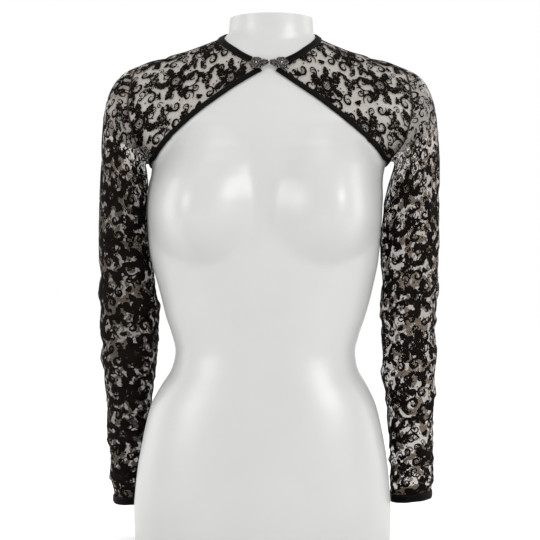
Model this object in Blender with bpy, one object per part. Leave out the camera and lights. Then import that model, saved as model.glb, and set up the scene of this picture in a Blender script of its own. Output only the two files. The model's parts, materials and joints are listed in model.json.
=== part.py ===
"""A long-sleeved sheer bolero jacket, clasped at the throat, on a plain limbless dress form.

Metres, +Z up, the wearer faces -Y. The origin is the middle of the form's flat base. Names such as
sleeve_right use the wearer's own sides, so the right sleeve is at -X.
"""

import math

import bpy
import numpy as np
from mathutils import Matrix, Vector
from mathutils.bvhtree import BVHTree

# Walls, seams and clearances.
CLOTH_THICKNESS = 0.0012
BINDING_THICKNESS = 0.0018
CUFF_THICKNESS = 0.0018
SEAM_GAP = 0.0004
CLOTH_CLEARANCE = 0.0022

# Widths of the narrow black bands.
NECK_BAND_WIDTH = 0.0085
HEM_BAND_WIDTH = 0.0080
CUFF_BAND_HEIGHT = 0.0085

# The form, from its base up: height, half width, y of the front, y of the back, y of the widest line,
# sideways shift, exponent of the superellipse, and the short arm stubs' reach and half depth.
FORM_COLUMNS = ("height", "half_width", "front", "back", "middle", "shift", "power", "reach", "stub")
FORM_SECTIONS = (
    (0.0000, 0.1575, -0.094, 0.112, 0.006, -0.0070, 2.25, 0.0, 0.0),
    (0.0500, 0.1595, -0.098, 0.121, 0.006, -0.0069, 2.25, 0.0, 0.0),
    (0.0800, 0.1576, -0.099, 0.122, 0.006, -0.0067, 2.22, 0.0, 0.0),
    (0.1050, 0.1550, -0.099, 0.119, 0.006, -0.0064, 2.20, 0.0, 0.0),
    (0.1300, 0.1510, -0.098, 0.112, 0.005, -0.0060, 2.20, 0.0, 0.0),
    (0.1800, 0.1397, -0.093, 0.094, 0.003, -0.0056, 2.20, 0.0, 0.0),
    (0.2030, 0.1285, -0.089, 0.085, 0.001, -0.0048, 2.20, 0.0, 0.0),
    (0.2280, 0.1143, -0.085, 0.080, 0.000, -0.0040, 2.20, 0.0, 0.0),
    (0.2470, 0.1112, -0.083, 0.078, 0.000, -0.0033, 2.20, 0.0, 0.0),
    (0.2650, 0.1150, -0.083, 0.078, 0.000, -0.0031, 2.20, 0.0, 0.0),
    (0.2900, 0.1234, -0.084, 0.080, 0.001, -0.0030, 2.20, 0.0, 0.0),
    (0.3150, 0.1300, -0.085, 0.083, 0.002, -0.0026, 2.20, 0.0, 0.0),
    (0.3400, 0.1364, -0.087, 0.087, 0.003, -0.0032, 2.20, 0.0, 0.0),
    (0.3550, 0.1401, -0.088, 0.089, 0.003, -0.0039, 2.20, 0.0, 0.0),
    (0.3700, 0.1428, -0.090, 0.092, 0.004, -0.0047, 2.20, 0.0, 0.0),
    (0.3850, 0.1442, -0.091, 0.094, 0.004, -0.0046, 2.20, 0.0, 0.0),
    (0.4000, 0.1453, -0.092, 0.096, 0.005, -0.0045, 2.20, 0.0, 0.0),
    (0.4180, 0.1463, -0.093, 0.098, 0.005, -0.0045, 2.20, 0.0, 0.0),
    (0.4360, 0.1466, -0.094, 0.100, 0.006, -0.0038, 2.20, 0.0, 0.0),
    (0.4540, 0.1455, -0.094, 0.103, 0.008, -0.0028, 2.17, 0.0, 0.0),
    (0.4650, 0.1444, -0.093, 0.104, 0.009, -0.0010, 2.15, 0.1444, 0.050),
    (0.4750, 0.1436, -0.092, 0.105, 0.010, 0.0005, 2.13, 0.1450, 0.051),
    (0.4820, 0.1432, -0.091, 0.106, 0.011, 0.0012, 2.10, 0.1475, 0.052),
    (0.4880, 0.1434, -0.090, 0.106, 0.011, 0.0018, 2.08, 0.1525, 0.054),
    (0.4950, 0.1440, -0.089, 0.107, 0.012, 0.0022, 2.06, 0.1630, 0.056),
    (0.5020, 0.1460, -0.087, 0.107, 0.012, 0.0022, 2.04, 0.1770, 0.058),
    (0.5110, 0.1485, -0.085, 0.107, 0.012, 0.0022, 2.02, 0.1935, 0.060),
    (0.5210, 0.1505, -0.082, 0.107, 0.012, 0.0022, 2.00, 0.2025, 0.062),
    (0.5350, 0.1525, -0.078, 0.107, 0.012, 0.0022, 2.00, 0.2065, 0.063),
    (0.5480, 0.1530, -0.073, 0.105, 0.012, 0.0024, 2.00, 0.2040, 0.063),
    (0.5600, 0.1530, -0.069, 0.103, 0.012, 0.0025, 1.95, 0.2002, 0.061),
    (0.5715, 0.1510, -0.065, 0.100, 0.012, 0.0025, 1.90, 0.1948, 0.057),
    (0.5835, 0.1480, -0.060, 0.095, 0.012, 0.0022, 1.85, 0.1863, 0.050),
    (0.5955, 0.1440, -0.056, 0.089, 0.012, 0.0015, 1.72, 0.1700, 0.040),
    (0.6020, 0.1400, -0.053, 0.085, 0.012, 0.0008, 1.66, 0.1570, 0.031),
    (0.6080, 0.1300, -0.051, 0.081, 0.012, 0.0003, 1.62, 0.1375, 0.023),
    (0.6130, 0.1215, -0.049, 0.077, 0.012, 0.0000, 1.60, 0.0, 0.0),
    (0.6178, 0.1045, -0.0475, 0.073, 0.012, 0.0002, 1.60, 0.0, 0.0),
    (0.6228, 0.0905, -0.0465, 0.071, 0.012, 0.0006, 1.60, 0.0, 0.0),
    (0.6278, 0.0778, -0.0455, 0.069, 0.012, 0.0012, 1.62, 0.0, 0.0),
    (0.6328, 0.0655, -0.045, 0.067, 0.011, 0.0020, 1.72, 0.0, 0.0),
    (0.6375, 0.0570, -0.0445, 0.065, 0.010, 0.0030, 1.88, 0.0, 0.0),
    (0.6430, 0.0530, -0.044, 0.063, 0.009, 0.0038, 2.00, 0.0, 0.0),
    (0.6600, 0.0514, -0.0462, 0.059, 0.0071, 0.0041, 2.00, 0.0, 0.0),
)
FORM_SIDES = 40

# The form's smooth general bust: one low mound on each side.
BUST_SPACING = 0.076
BUST_HEIGHT = 0.416
BUST_DEPTH = 0.038
BUST_HALF_WIDTH = 0.068
BUST_REACH_UP = 0.112
BUST_REACH_DOWN = 0.068
BUST_OUTWARD = 0.30

# The arm stubs' sections: their exponent, and how sharply they join the body.
STUB_POWER = 2.4
STUB_JOIN = 3.0

# A line inside the shoulders, from which the yoke is measured: each point of the cloth has its
# place along X and its turn about this line, 0 at the top of the shoulder and a quarter turn in front.
YOKE_AXIS_Y = 0.012
YOKE_AXIS_NECK_Z = 0.585
YOKE_AXIS_SHOULDER_Z = 0.548
YOKE_AXIS_LEVEL_X = 0.060
YOKE_AXIS_LOW_X = 0.150

# The armhole seam: turn in degrees, and distance from its own middle.
ARMHOLE = (
    (0.0, 0.1640),
    (45.0, 0.1705),
    (90.0, 0.1740),
    (135.0, 0.1655),
    (165.0, 0.1525),
    (180.0, 0.1485),
    (195.0, 0.1515),
    (225.0, 0.1625),
    (270.0, 0.1705),
    (315.0, 0.1690),
    (360.0, 0.1640),
)
ARMHOLE_SHIFT = 0.0025
ARMHOLE_STEPS = 12

# The neck band's upper edge: angle about the neck in degrees, -90 in front, and height.
NECK_AXIS_X = 0.0025
NECK_AXIS_Y = 0.012
NECK_AXIS_TOP = 0.700
NECK_EDGE = (
    (-90.0, 0.5990),
    (-80.0, 0.6015),
    (-66.0, 0.6080),
    (-58.0, 0.6130),
    (-51.0, 0.6178),
    (-43.5, 0.6225),
    (-20.0, 0.6350),
    (0.0, 0.6415),
    (25.0, 0.6480),
    (60.0, 0.6530),
    (90.0, 0.6545),
)
NECK_BAND_START = -81.0
NECK_SHOULDER_ANGLE = -3.5
NECK_BAND_CLEARANCE = 0.0007
NECK_BACK_STEPS = 8

# The jacket's lower front edge, from the throat to the underarm: distance from its middle line,
# height, and how far that line lies from the middle of the form.
FRONT_EDGE = (
    (0.0080, 0.5866, 0.0010),
    (0.0234, 0.5769, -0.0004),
    (0.0421, 0.5646, -0.0014),
    (0.0603, 0.5521, -0.0012),
    (0.0769, 0.5399, -0.0016),
    (0.0925, 0.5279, -0.0014),
    (0.1068, 0.5160, -0.0009),
    (0.1205, 0.5040, 0.0000),
    (0.1315, 0.4925, 0.0010),
    (0.1385, 0.4830, 0.0015),
)
HEM_STEPS = 18
PANEL_TIP_X = 0.0170
PANEL_TIP_Z = 0.5920
# The lower back edge, in the same columns.
BACK_EDGE = (
    (0.0, 0.4620, 0.0),
    (0.0500, 0.4630, 0.0),
    (0.1000, 0.4670, 0.0),
    (0.1280, 0.4730, 0.0),
)
BELOW_JACKET_Z = 0.300
WALK_STEPS = 8

# Each sleeve by stations: outer x and height, inner x and height, half depth, and y of the middle.
SLEEVE_COLUMNS = ("outer_x", "outer_z", "inner_x", "inner_z", "half_depth", "middle_y")
SLEEVE_RIGHT = (
    (0.1590, 0.6015, 0.1460, 0.4840, 0.0600, 0.0120),
    (0.1745, 0.5940, 0.1512, 0.4836, 0.0600, 0.0120),
    (0.1865, 0.5820, 0.1532, 0.4790, 0.0595, 0.0120),
    (0.1955, 0.5680, 0.1525, 0.4725, 0.0590, 0.0125),
    (0.2015, 0.5510, 0.1518, 0.4640, 0.0580, 0.0130),
    (0.2045, 0.5300, 0.1508, 0.4540, 0.0570, 0.0135),
    (0.2069, 0.5000, 0.1498, 0.4370, 0.0560, 0.0140),
    (0.2088, 0.4550, 0.1485, 0.4150, 0.0545, 0.0150),
    (0.2104, 0.4000, 0.1460, 0.3780, 0.0520, 0.0170),
    (0.2110, 0.3450, 0.1430, 0.3330, 0.0495, 0.0210),
    (0.2091, 0.2900, 0.1390, 0.2830, 0.0470, 0.0280),
    (0.2085, 0.2400, 0.1418, 0.2360, 0.0445, 0.0380),
    (0.2057, 0.1800, 0.1498, 0.1770, 0.0405, 0.0560),
    (0.2032, 0.1300, 0.1531, 0.1280, 0.0370, 0.0700),
    (0.2016, 0.0880, 0.1536, 0.0870, 0.0345, 0.0800),
    (0.1980, 0.0570, 0.1516, 0.0565, 0.0330, 0.0870),
)
SLEEVE_LEFT = (
    (0.1640, 0.6005, 0.1510, 0.4840, 0.0600, 0.0120),
    (0.1795, 0.5930, 0.1562, 0.4836, 0.0600, 0.0120),
    (0.1915, 0.5825, 0.1582, 0.4790, 0.0595, 0.0120),
    (0.2005, 0.5680, 0.1572, 0.4725, 0.0590, 0.0125),
    (0.2065, 0.5515, 0.1548, 0.4640, 0.0580, 0.0130),
    (0.2100, 0.5300, 0.1515, 0.4540, 0.0570, 0.0135),
    (0.2125, 0.5000, 0.1478, 0.4370, 0.0560, 0.0140),
    (0.2135, 0.4550, 0.1450, 0.4150, 0.0545, 0.0145),
    (0.2125, 0.4000, 0.1420, 0.3780, 0.0520, 0.0150),
    (0.2110, 0.3450, 0.1420, 0.3330, 0.0495, 0.0165),
    (0.2095, 0.2900, 0.1430, 0.2830, 0.0470, 0.0190),
    (0.2100, 0.2400, 0.1450, 0.2360, 0.0445, 0.0220),
    (0.2065, 0.1800, 0.1500, 0.1770, 0.0405, 0.0270),
    (0.2070, 0.1300, 0.1545, 0.1280, 0.0370, 0.0320),
    (0.2070, 0.0950, 0.1555, 0.0930, 0.0345, 0.0350),
    (0.2055, 0.0700, 0.1550, 0.0650, 0.0330, 0.0370),
)
SLEEVE_POWER = 2.15
# Rings of cloth between stations: few on the smooth cap, many where the sleeve is rumpled.
SLEEVE_RINGS = ((0.0, 5.0, 9), (5.0, 8.0, 5), (8.0, 15.0, 26))
CAP_BLEND_STATIONS = 4.0

# The sleeves' largest folds: station, angle round the sleeve in degrees (0 outside, 90 in front),
# half spread in degrees, height (a trough is negative), half width, and slant down per radian.
FOLD_COLUMNS = ("station", "angle", "spread", "height", "half_width", "slant")
FOLDS_RIGHT = (
    (6.2, 125.0, 85.0, 0.0030, 0.0150, 0.014),
    (7.0, 70.0, 80.0, -0.0022, 0.0140, 0.012),
    (7.7, 215.0, 90.0, 0.0028, 0.0140, -0.010),
    (8.4, 100.0, 95.0, 0.0028, 0.0130, 0.008),
    (9.0, 20.0, 85.0, -0.0026, 0.0120, -0.006),
    (9.6, 160.0, 90.0, 0.0034, 0.0120, 0.007),
    (10.2, 330.0, 90.0, 0.0030, 0.0115, 0.005),
    (10.7, 80.0, 80.0, -0.0030, 0.0110, -0.006),
    (11.1, 60.0, 95.0, 0.0036, 0.0110, 0.005),
    (11.6, 250.0, 95.0, 0.0034, 0.0110, -0.006),
    (12.0, 40.0, 85.0, -0.0028, 0.0110, 0.004),
    (12.4, 90.0, 100.0, 0.0034, 0.0105, -0.005),
    (12.9, 10.0, 80.0, 0.0026, 0.0105, 0.005),
    (13.3, 120.0, 85.0, -0.0028, 0.0105, 0.004),
    (13.8, 70.0, 95.0, 0.0030, 0.0100, -0.003),
    (14.4, 300.0, 100.0, 0.0024, 0.0100, 0.003),
)
FOLDS_LEFT = (
    (6.0, 130.0, 80.0, 0.0028, 0.0150, 0.013),
    (6.9, 80.0, 85.0, -0.0022, 0.0140, 0.012),
    (7.6, 230.0, 90.0, 0.0028, 0.0140, -0.010),
    (8.2, 60.0, 90.0, 0.0028, 0.0130, -0.008),
    (8.8, 150.0, 85.0, -0.0028, 0.0120, 0.006),
    (9.3, 340.0, 85.0, 0.0030, 0.0120, 0.006),
    (9.8, 110.0, 100.0, 0.0036, 0.0115, -0.006),
    (10.4, 40.0, 85.0, -0.0030, 0.0110, 0.006),
    (10.9, 90.0, 95.0, 0.0038, 0.0110, 0.005),
    (11.4, 200.0, 90.0, 0.0030, 0.0110, 0.005),
    (11.8, 20.0, 80.0, 0.0032, 0.0110, -0.004),
    (12.3, 100.0, 95.0, -0.0030, 0.0105, -0.005),
    (12.7, 65.0, 100.0, 0.0034, 0.0105, 0.005),
    (13.2, 290.0, 95.0, 0.0030, 0.0105, 0.004),
    (13.7, 130.0, 85.0, -0.0026, 0.0105, 0.003),
    (14.3, 50.0, 100.0, 0.0024, 0.0100, -0.003),
)

# The throat clasp: a scalloped rosette on each side, an eye with its bar, and a hook through the eye.
CLASP_SHIFT = 0.0013
CLASP_SEAT_GAP = 0.0004
ROSETTE_X = 0.0150
ROSETTE_Z = 0.5955
ROSETTE_RADIUS = 0.0082
ROSETTE_SCALLOP = 0.13
SCALLOP_MIDDLE = 0.6
ROSETTE_HEIGHT = 0.0034
ROSETTE_PETALS = 6
ROSETTE_SIDES = 24
# Rings of the rosette from its rim inwards: share of its radius, share of its height.
ROSETTE_PROFILE = ((1.00, 0.25), (0.93, 0.62), (0.70, 0.80), (0.45, 0.55), (0.26, 1.00))
BAR_LIFT = 0.0012
LINK_GAP = 0.0004
EYE_X = 0.0010
EYE_RADIUS = 0.0019
EYE_STEPS = 16
WIRE_RADIUS = 0.0005
WIRE_SIDES = 8

# Colours, and how rough and how metallic each material is.
MATERIALS = {
    "sheer_lace": ((0.085, 0.072, 0.062, 1.0), 0.80, 0.0),
    "black_binding": ((0.008, 0.008, 0.008, 1.0), 0.45, 0.0),
    "antique_metal": ((0.22, 0.21, 0.20, 1.0), 0.32, 1.0),
    "form_gloss": ((0.80, 0.80, 0.79, 1.0), 0.30, 0.0),
}


def clear_scene():
    for thing in list(bpy.data.objects):
        bpy.data.objects.remove(thing)
    for mesh in list(bpy.data.meshes):
        bpy.data.meshes.remove(mesh)


def make_material(name):
    """A plain material with the colour and finish that MATERIALS gives."""
    colour, roughness, metallic = MATERIALS[name]
    material = bpy.data.materials.new(name)
    material.use_nodes = True
    shader = material.node_tree.nodes["Principled BSDF"]
    shader.inputs["Base Color"].default_value = colour
    shader.inputs["Roughness"].default_value = roughness
    shader.inputs["Metallic"].default_value = metallic
    material.diffuse_color = colour
    return material


def read_table(rows, column, at):
    """A smooth curve through one column, which never overshoots, read at values of the first."""
    table = np.asarray(rows, float)
    x, y = table[:, 0], table[:, column]
    step = np.diff(x)
    rise = np.diff(y) / step
    slope = np.zeros(len(x))
    slope[0], slope[-1] = rise[0], rise[-1]
    both = rise[:-1] * rise[1:]
    same = both > 0
    mean = np.zeros(len(both))
    mean[same] = 2.0 * both[same] / (rise[:-1] + rise[1:])[same]
    slope[1:-1] = mean
    at = np.clip(np.asarray(at, float), x[0], x[-1])
    k = np.clip(np.searchsorted(x, at) - 1, 0, len(x) - 2)
    t = (at - x[k]) / step[k]
    value = y[k] * (1 + 2 * t) * (1 - t) ** 2 + y[k + 1] * t * t * (3 - 2 * t)
    return value + step[k] * (slope[k] * t * (1 - t) ** 2 - slope[k + 1] * t * t * (1 - t))


def signed_power(value, power):
    return np.sign(value) * np.abs(value) ** power


def smooth_step(value):
    value = np.clip(value, 0.0, 1.0)
    return value * value * (3 - 2 * value)


def even_points(points, count):
    """Points at even steps along a line of points."""
    points = np.asarray(points, float)
    run = np.concatenate(([0.0], np.cumsum(np.linalg.norm(np.diff(points, axis=0), axis=1))))
    at = np.linspace(0.0, run[-1], count)
    return np.stack([np.interp(at, run, points[:, axis]) for axis in range(points.shape[1])], axis=1)


def grid_faces(rows, columns, closed):
    """Quads of a grid of points, which may close on itself from the last column to the first."""
    faces = []
    for row in range(rows - 1):
        for column in range(columns if closed else columns - 1):
            after = (column + 1) % columns
            here, below = row * columns, (row + 1) * columns
            faces.append((here + column, here + after, below + after, below + column))
    return faces


def add_mesh(name, points, faces, material, collection):
    mesh = bpy.data.meshes.new(name)
    mesh.from_pydata([tuple(p) for p in points], [], faces)
    mesh.materials.append(material)
    mesh.update()
    mesh.shade_smooth()
    mesh.set_sharp_from_angle(angle=math.radians(40))
    piece = bpy.data.objects.new(name, mesh)
    collection.objects.link(piece)
    return piece


# The form and its surface.


def form_section(height, angle):
    """Points of the form's surface. Both arguments may be arrays; angle 0 is +X, a quarter turn +Y."""
    section = {name: read_table(FORM_SECTIONS, i, height) for i, name in enumerate(FORM_COLUMNS) if i}
    across, along = np.cos(angle), np.sin(angle)
    power = 2.0 / section["power"]
    x = section["half_width"] * signed_power(across, power)
    front, back, middle = section["front"], section["back"], section["middle"]
    y = middle + np.where(along < 0, middle - front, back - middle) * signed_power(along, power)
    reach = np.where(height > BUST_HEIGHT, BUST_REACH_UP, BUST_REACH_DOWN)
    for side in (-1, 1):
        off = ((x - side * BUST_SPACING) / BUST_HALF_WIDTH) ** 2 + ((height - BUST_HEIGHT) / reach) ** 2
        mound = np.where(along < 0, np.clip(1 - off, 0, 1) ** 1.5, 0.0) * BUST_DEPTH
        x = x + side * BUST_OUTWARD * mound * np.clip(side * x / BUST_SPACING, 0, 1)
        y = y - mound
    depth = np.clip(np.abs(y - YOKE_AXIS_Y) / np.maximum(section["stub"], 1e-6), 0, 1)
    beyond = np.clip(section["reach"] ** STUB_JOIN - section["half_width"] ** STUB_JOIN, 0, None)
    stub = beyond * (1 - depth**STUB_POWER) ** (STUB_JOIN / STUB_POWER)
    x = np.sign(x) * (np.abs(x) ** STUB_JOIN + stub) ** (1 / STUB_JOIN)
    return np.stack(np.broadcast_arrays(x + section["shift"], y, height), axis=-1)


def form_mesh(heights, sides):
    """The form's rings at these heights as points and faces, closed by a flat cap at each end."""
    angle = np.arange(sides) * 2 * math.pi / sides
    rings = form_section(np.asarray(heights)[:, None], angle[None, :])
    faces = grid_faces(len(heights), sides, True)
    faces.append(tuple(reversed(range(sides))))
    faces.append(tuple((len(heights) - 1) * sides + i for i in range(sides)))
    return rings.reshape(-1, 3), faces


def split_inwards(points, faces):
    """Triangles in place of quads, each quad split along the diagonal that passes further inside."""
    middle = np.array((0.0, YOKE_AXIS_Y))
    result = []
    for face in faces:
        if len(face) != 4:
            result.append(face)
            continue
        a, b, c, d = face
        first, second = (points[[a, c], :2].mean(axis=0), points[[b, d], :2].mean(axis=0))
        if np.linalg.norm(first - middle) < np.linalg.norm(second - middle):
            result += [(a, b, c), (a, c, d)]
        else:
            result += [(a, b, d), (b, c, d)]
    return result


def build_form(material, collection):
    points, faces = form_mesh([row[0] for row in FORM_SECTIONS], FORM_SIDES)
    return add_mesh("dress_form", points, split_inwards(points, faces), material, collection)


class FormSurface:
    """The form's surface, finely sampled, to lay cloth on. Each row it gives is a point that lies a
    gap outside the form, and the surface's outward normal there."""

    def __init__(self):
        heights = np.array([row[0] for row in FORM_SECTIONS])
        fine = np.unique(np.concatenate([np.linspace(a, b, 7) for a, b in zip(heights, heights[1:])]))
        points, faces = form_mesh(fine, 6 * FORM_SIDES)
        self.tree = BVHTree.FromPolygons([tuple(p) for p in points], faces)

    def cast(self, origin, direction, gap=CLOTH_CLEARANCE):
        hit, normal, _, _ = self.tree.ray_cast(Vector(origin), Vector(direction))
        return np.array([*(hit + normal * gap), *normal])

    def nearest(self, point, gap=CLOTH_CLEARANCE):
        hit, normal, _, _ = self.tree.find_nearest(Vector(point))
        return np.array([*(hit + normal * gap), *normal])


def yoke_axis(x):
    low = smooth_step((abs(x) - YOKE_AXIS_LEVEL_X) / (YOKE_AXIS_LOW_X - YOKE_AXIS_LEVEL_X))
    return YOKE_AXIS_NECK_Z + (YOKE_AXIS_SHOULDER_Z - YOKE_AXIS_NECK_Z) * float(low)


def yoke_point(form, x, turn):
    """The cloth's point and normal at this x and this turn, in radians, about the yoke's line."""
    direction = (0.0, -math.sin(turn), math.cos(turn))
    return form.cast((x, YOKE_AXIS_Y, yoke_axis(x)), direction)


def yoke_place(point, facing):
    """The x and the turn of a point of the yoke, on the front (facing 1) or the back (facing -1)."""
    x, y, z = point[:3]
    turn = math.atan2(YOKE_AXIS_Y - y, z - yoke_axis(x))
    if turn * facing < -math.pi / 2:
        turn += facing * 2 * math.pi
    return x, turn


def point_at_height(form, x, height, facing):
    return form.cast((x, YOKE_AXIS_Y, height), (0.0, -facing, 0.0))


def walk(form, row, tangent, width, away_from):
    """A place on the form, reached in short steps across a line's tangent and away from a point."""
    row = form.nearest(row[:3], 0.0)
    for _ in range(WALK_STEPS):
        across = Vector(row[3:]).cross(Vector(tangent)).normalized()
        if across.dot(Vector(row[:3]) - Vector(away_from)) < 0:
            across = -across
        row = form.nearest(Vector(row[:3]) + across * (width / WALK_STEPS), 0.0)
    return form.nearest(row[:3])


def move_on_form(form, line, width, away_from):
    """The line moved across itself over the form's surface, away from a point."""
    tangents = np.gradient(line[:, :3], axis=0)
    return np.array([walk(form, row, tangent, width, away_from) for row, tangent in zip(line, tangents)])


def resample(form, line, count):
    places = np.array(line)[:, :3]
    return np.array([form.nearest(p) for p in even_points(places, count)])


# The jacket's edges and seams, each as rows of a point and its outward normal.


def neck_line(form, side, facing, beyond):
    """A line round half of the neck: the band's upper edge, moved down over the form by `beyond`.
    In front it runs from the throat to the shoulder, behind from the shoulder to the centre back."""
    front = np.linspace(NECK_BAND_START, NECK_SHOULDER_ANGLE, ARMHOLE_STEPS + 2)
    back = np.linspace(NECK_SHOULDER_ANGLE, 90.0, NECK_BACK_STEPS + 1)
    gap = CLOTH_CLEARANCE if beyond else NECK_BAND_CLEARANCE
    line = []
    for angle in np.concatenate([front, back[1:]]):
        height = float(read_table(NECK_EDGE, 1, angle))
        turn = math.radians(angle)
        direction = (side * math.cos(turn), math.sin(turn), 0.0)
        line.append(form.cast((NECK_AXIS_X, NECK_AXIS_Y, height), direction, gap))
    line = np.array(line)
    if beyond:
        line = move_on_form(form, line, beyond, (NECK_AXIS_X, NECK_AXIS_Y, NECK_AXIS_TOP))
    return line[: len(front)] if facing > 0 else line[len(front) - 1 :]


def beside_seam(form, point, seam_y, facing):
    """A point on the shoulder's or the side's seam, moved half the seam's gap forwards or back."""
    place = np.array((point[0], seam_y - facing * SEAM_GAP / 2, point[2]))
    return form.nearest(place)


def panel_neck(form, side, facing):
    """A panel's edge beside the neck band."""
    line = neck_line(form, side, facing, NECK_BAND_WIDTH + SEAM_GAP)
    corner, neighbour = (-1, -2) if facing > 0 else (0, 1)
    step = line[neighbour, :3] - line[corner, :3]
    line[corner] = form.nearest(line[corner, :3] + step * (SEAM_GAP / 2 / np.linalg.norm(step)))
    return line


def shoulder_seam(form, side, facing, neck, steps):
    """One edge of the shoulder seam, from its corner at the neck to the armhole."""
    line = [neck]
    start_y = neck[1] + facing * SEAM_GAP / 2
    end_x = armhole_x(side, 0.0, -SEAM_GAP / 2)
    for share in np.linspace(0.0, 1.0, steps + 1)[1:]:
        x = neck[0] + share * (end_x - neck[0])
        seam_y = start_y + share * (YOKE_AXIS_Y - start_y)
        line.append(beside_seam(form, yoke_point(form, x, 0.0), seam_y, facing))
    return np.array(line)


def armhole_x(side, turn, outward):
    """The armhole's x at a turn in degrees, moved outwards on its own side."""
    return side * (float(read_table(ARMHOLE, 1, turn)) + outward) + ARMHOLE_SHIFT


def armhole_seam(form, side, facing, outward):
    """The armhole on the front or the back, from shoulder to underarm; outward shifts it along X."""
    middle = []
    for turn in np.linspace(0.0, 180.0, 61):
        x = armhole_x(side, turn if facing > 0 else 360.0 - turn, 0.0)
        middle.append(yoke_point(form, x, facing * math.radians(turn)))
    middle = resample(form, middle, ARMHOLE_STEPS + 1)
    beside = [form.nearest(p[:3] + (side * outward, 0.0, 0.0)) for p in middle]
    return np.array(beside)


def lower_edge(form, table, side, facing, steps):
    """The jacket's lower edge on one side, from the middle to below the underarm."""
    line = []
    for x in np.linspace(table[0][0], table[-1][0], 40):
        height, shift = (float(read_table(table, column, x)) for column in (1, 2))
        line.append(point_at_height(form, side * x + shift, height, facing))
    underarm = yoke_point(form, armhole_x(side, 180.0, -SEAM_GAP / 2), math.pi)
    below = walk(form, underarm, (0.0, 1.0, 0.0), HEM_BAND_WIDTH + SEAM_GAP, (0.0, 0.0, NECK_AXIS_TOP))
    line.append(beside_seam(form, below, YOKE_AXIS_Y, facing))
    line = resample(form, line, 4 * steps + 1)
    return resample(form, line, steps + 1)


def above_edge(form, edge, height, facing):
    """The lower edge moved up over the form by this height; its last corner stays at the side seam."""
    below = (0.0, YOKE_AXIS_Y, BELOW_JACKET_Z)
    line = move_on_form(form, edge, height, below)
    corner = walk(form, edge[-1], (0.0, 1.0, 0.0), height, below)
    line[-1] = beside_seam(form, corner, YOKE_AXIS_Y, facing)
    return line


# Cloth walls.


def add_wall(name, inner, outer, closed, material, collection):
    """A closed wall between an inner and an outer grid of points that match one to one."""
    rows, columns = inner.shape[:2]
    count = rows * columns
    faces = [tuple(reversed(f)) for f in grid_faces(rows, columns, closed)]
    faces += [tuple(count + i for i in f) for f in grid_faces(rows, columns, closed)]
    rims = [([c for c in range(columns)], False), ([count - columns + c for c in range(columns)], True)]
    if not closed:
        rims.append(([r * columns for r in range(rows)], True))
        rims.append(([r * columns + columns - 1 for r in range(rows)], False))
    for rim, turned in rims:
        pairs = list(zip(rim, rim[1:] + rim[:1]))
        for a, b in pairs if closed else pairs[:-1]:
            face = (a, b, b + count, a + count)
            faces.append(tuple(reversed(face)) if turned else face)
    points = np.concatenate([inner.reshape(-1, 3), outer.reshape(-1, 3)])
    if signed_volume(points, faces) < 0:
        faces = [tuple(reversed(f)) for f in faces]
    return add_mesh(name, points, faces, material, collection)


def signed_volume(points, faces):
    total = 0.0
    for face in faces:
        a = points[face[0]]
        for i in range(1, len(face) - 1):
            total += float(np.dot(a, np.cross(points[face[i]], points[face[i + 1]])))
    return total / 6


def wall_on_form(name, grid, thickness, material, collection):
    """A wall that lies on the form: each row of the grid holds points and their normals."""
    inner = grid[..., :3]
    return add_wall(name, inner, inner + grid[..., 3:] * thickness, False, material, collection)


def patch(form, top, bottom, start, end, facing):
    """A panel between four edges, filled in by place and turn about the yoke's line."""
    edges = (top, bottom, start, end)
    top, bottom, start, end = (np.array([yoke_place(p, facing) for p in edge]) for edge in edges)
    v = np.linspace(0.0, 1.0, len(start))[:, None, None]
    u = np.linspace(0.0, 1.0, len(top))[None, :, None]
    place = (1 - v) * top[None] + v * bottom[None] + (1 - u) * start[:, None] + u * end[:, None]
    place = place - (1 - u) * ((1 - v) * top[0] + v * bottom[0])
    place = place - u * ((1 - v) * top[-1] + v * bottom[-1])
    grid = [[yoke_point(form, x, turn) for x, turn in row] for row in place]
    grid = np.array(grid)
    grid[0], grid[-1], grid[:, 0], grid[:, -1] = edges
    return grid


def build_front(form, side, name, material, collection):
    tip = point_at_height(form, CLASP_SHIFT + side * PANEL_TIP_X, PANEL_TIP_Z, 1)
    neck = np.vstack([tip, panel_neck(form, side, 1)[2:]])[::-1]
    armhole = armhole_seam(form, side, 1, -SEAM_GAP / 2)
    shoulder = shoulder_seam(form, side, 1, neck[0], HEM_STEPS)
    edge = lower_edge(form, FRONT_EDGE, side, 1, HEM_STEPS)
    hem = above_edge(form, edge, HEM_BAND_WIDTH + SEAM_GAP, 1)
    armhole[0] = shoulder[-1]
    hem[0], armhole[-1] = tip, hem[-1]
    grid = patch(form, shoulder, hem, neck, armhole, 1)
    return wall_on_form(name, grid, CLOTH_THICKNESS, material, collection)


def build_back(form, material, collection):
    top, hem, armholes = [], [], []
    for side in (-1, 1):
        neck = panel_neck(form, side, -1)
        shoulder = shoulder_seam(form, side, -1, neck[0], HEM_STEPS - NECK_BACK_STEPS)
        armhole = armhole_seam(form, side, -1, -SEAM_GAP / 2)
        edge = lower_edge(form, BACK_EDGE, side, -1, HEM_STEPS)
        edge = above_edge(form, edge, HEM_BAND_WIDTH + SEAM_GAP, -1)
        armhole[0], armhole[-1] = shoulder[-1], edge[-1]
        top.append(np.vstack([shoulder[::-1], neck[1:]]))
        hem.append(edge[::-1])
        armholes.append(armhole)
    top = np.vstack([top[0][:-1], top[1][::-1]])
    hem = np.vstack([hem[0][:-1], hem[1][::-1]])
    grid = patch(form, top, hem, armholes[0], armholes[1], -1)
    return wall_on_form("back", grid, CLOTH_THICKNESS, material, collection)


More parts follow.
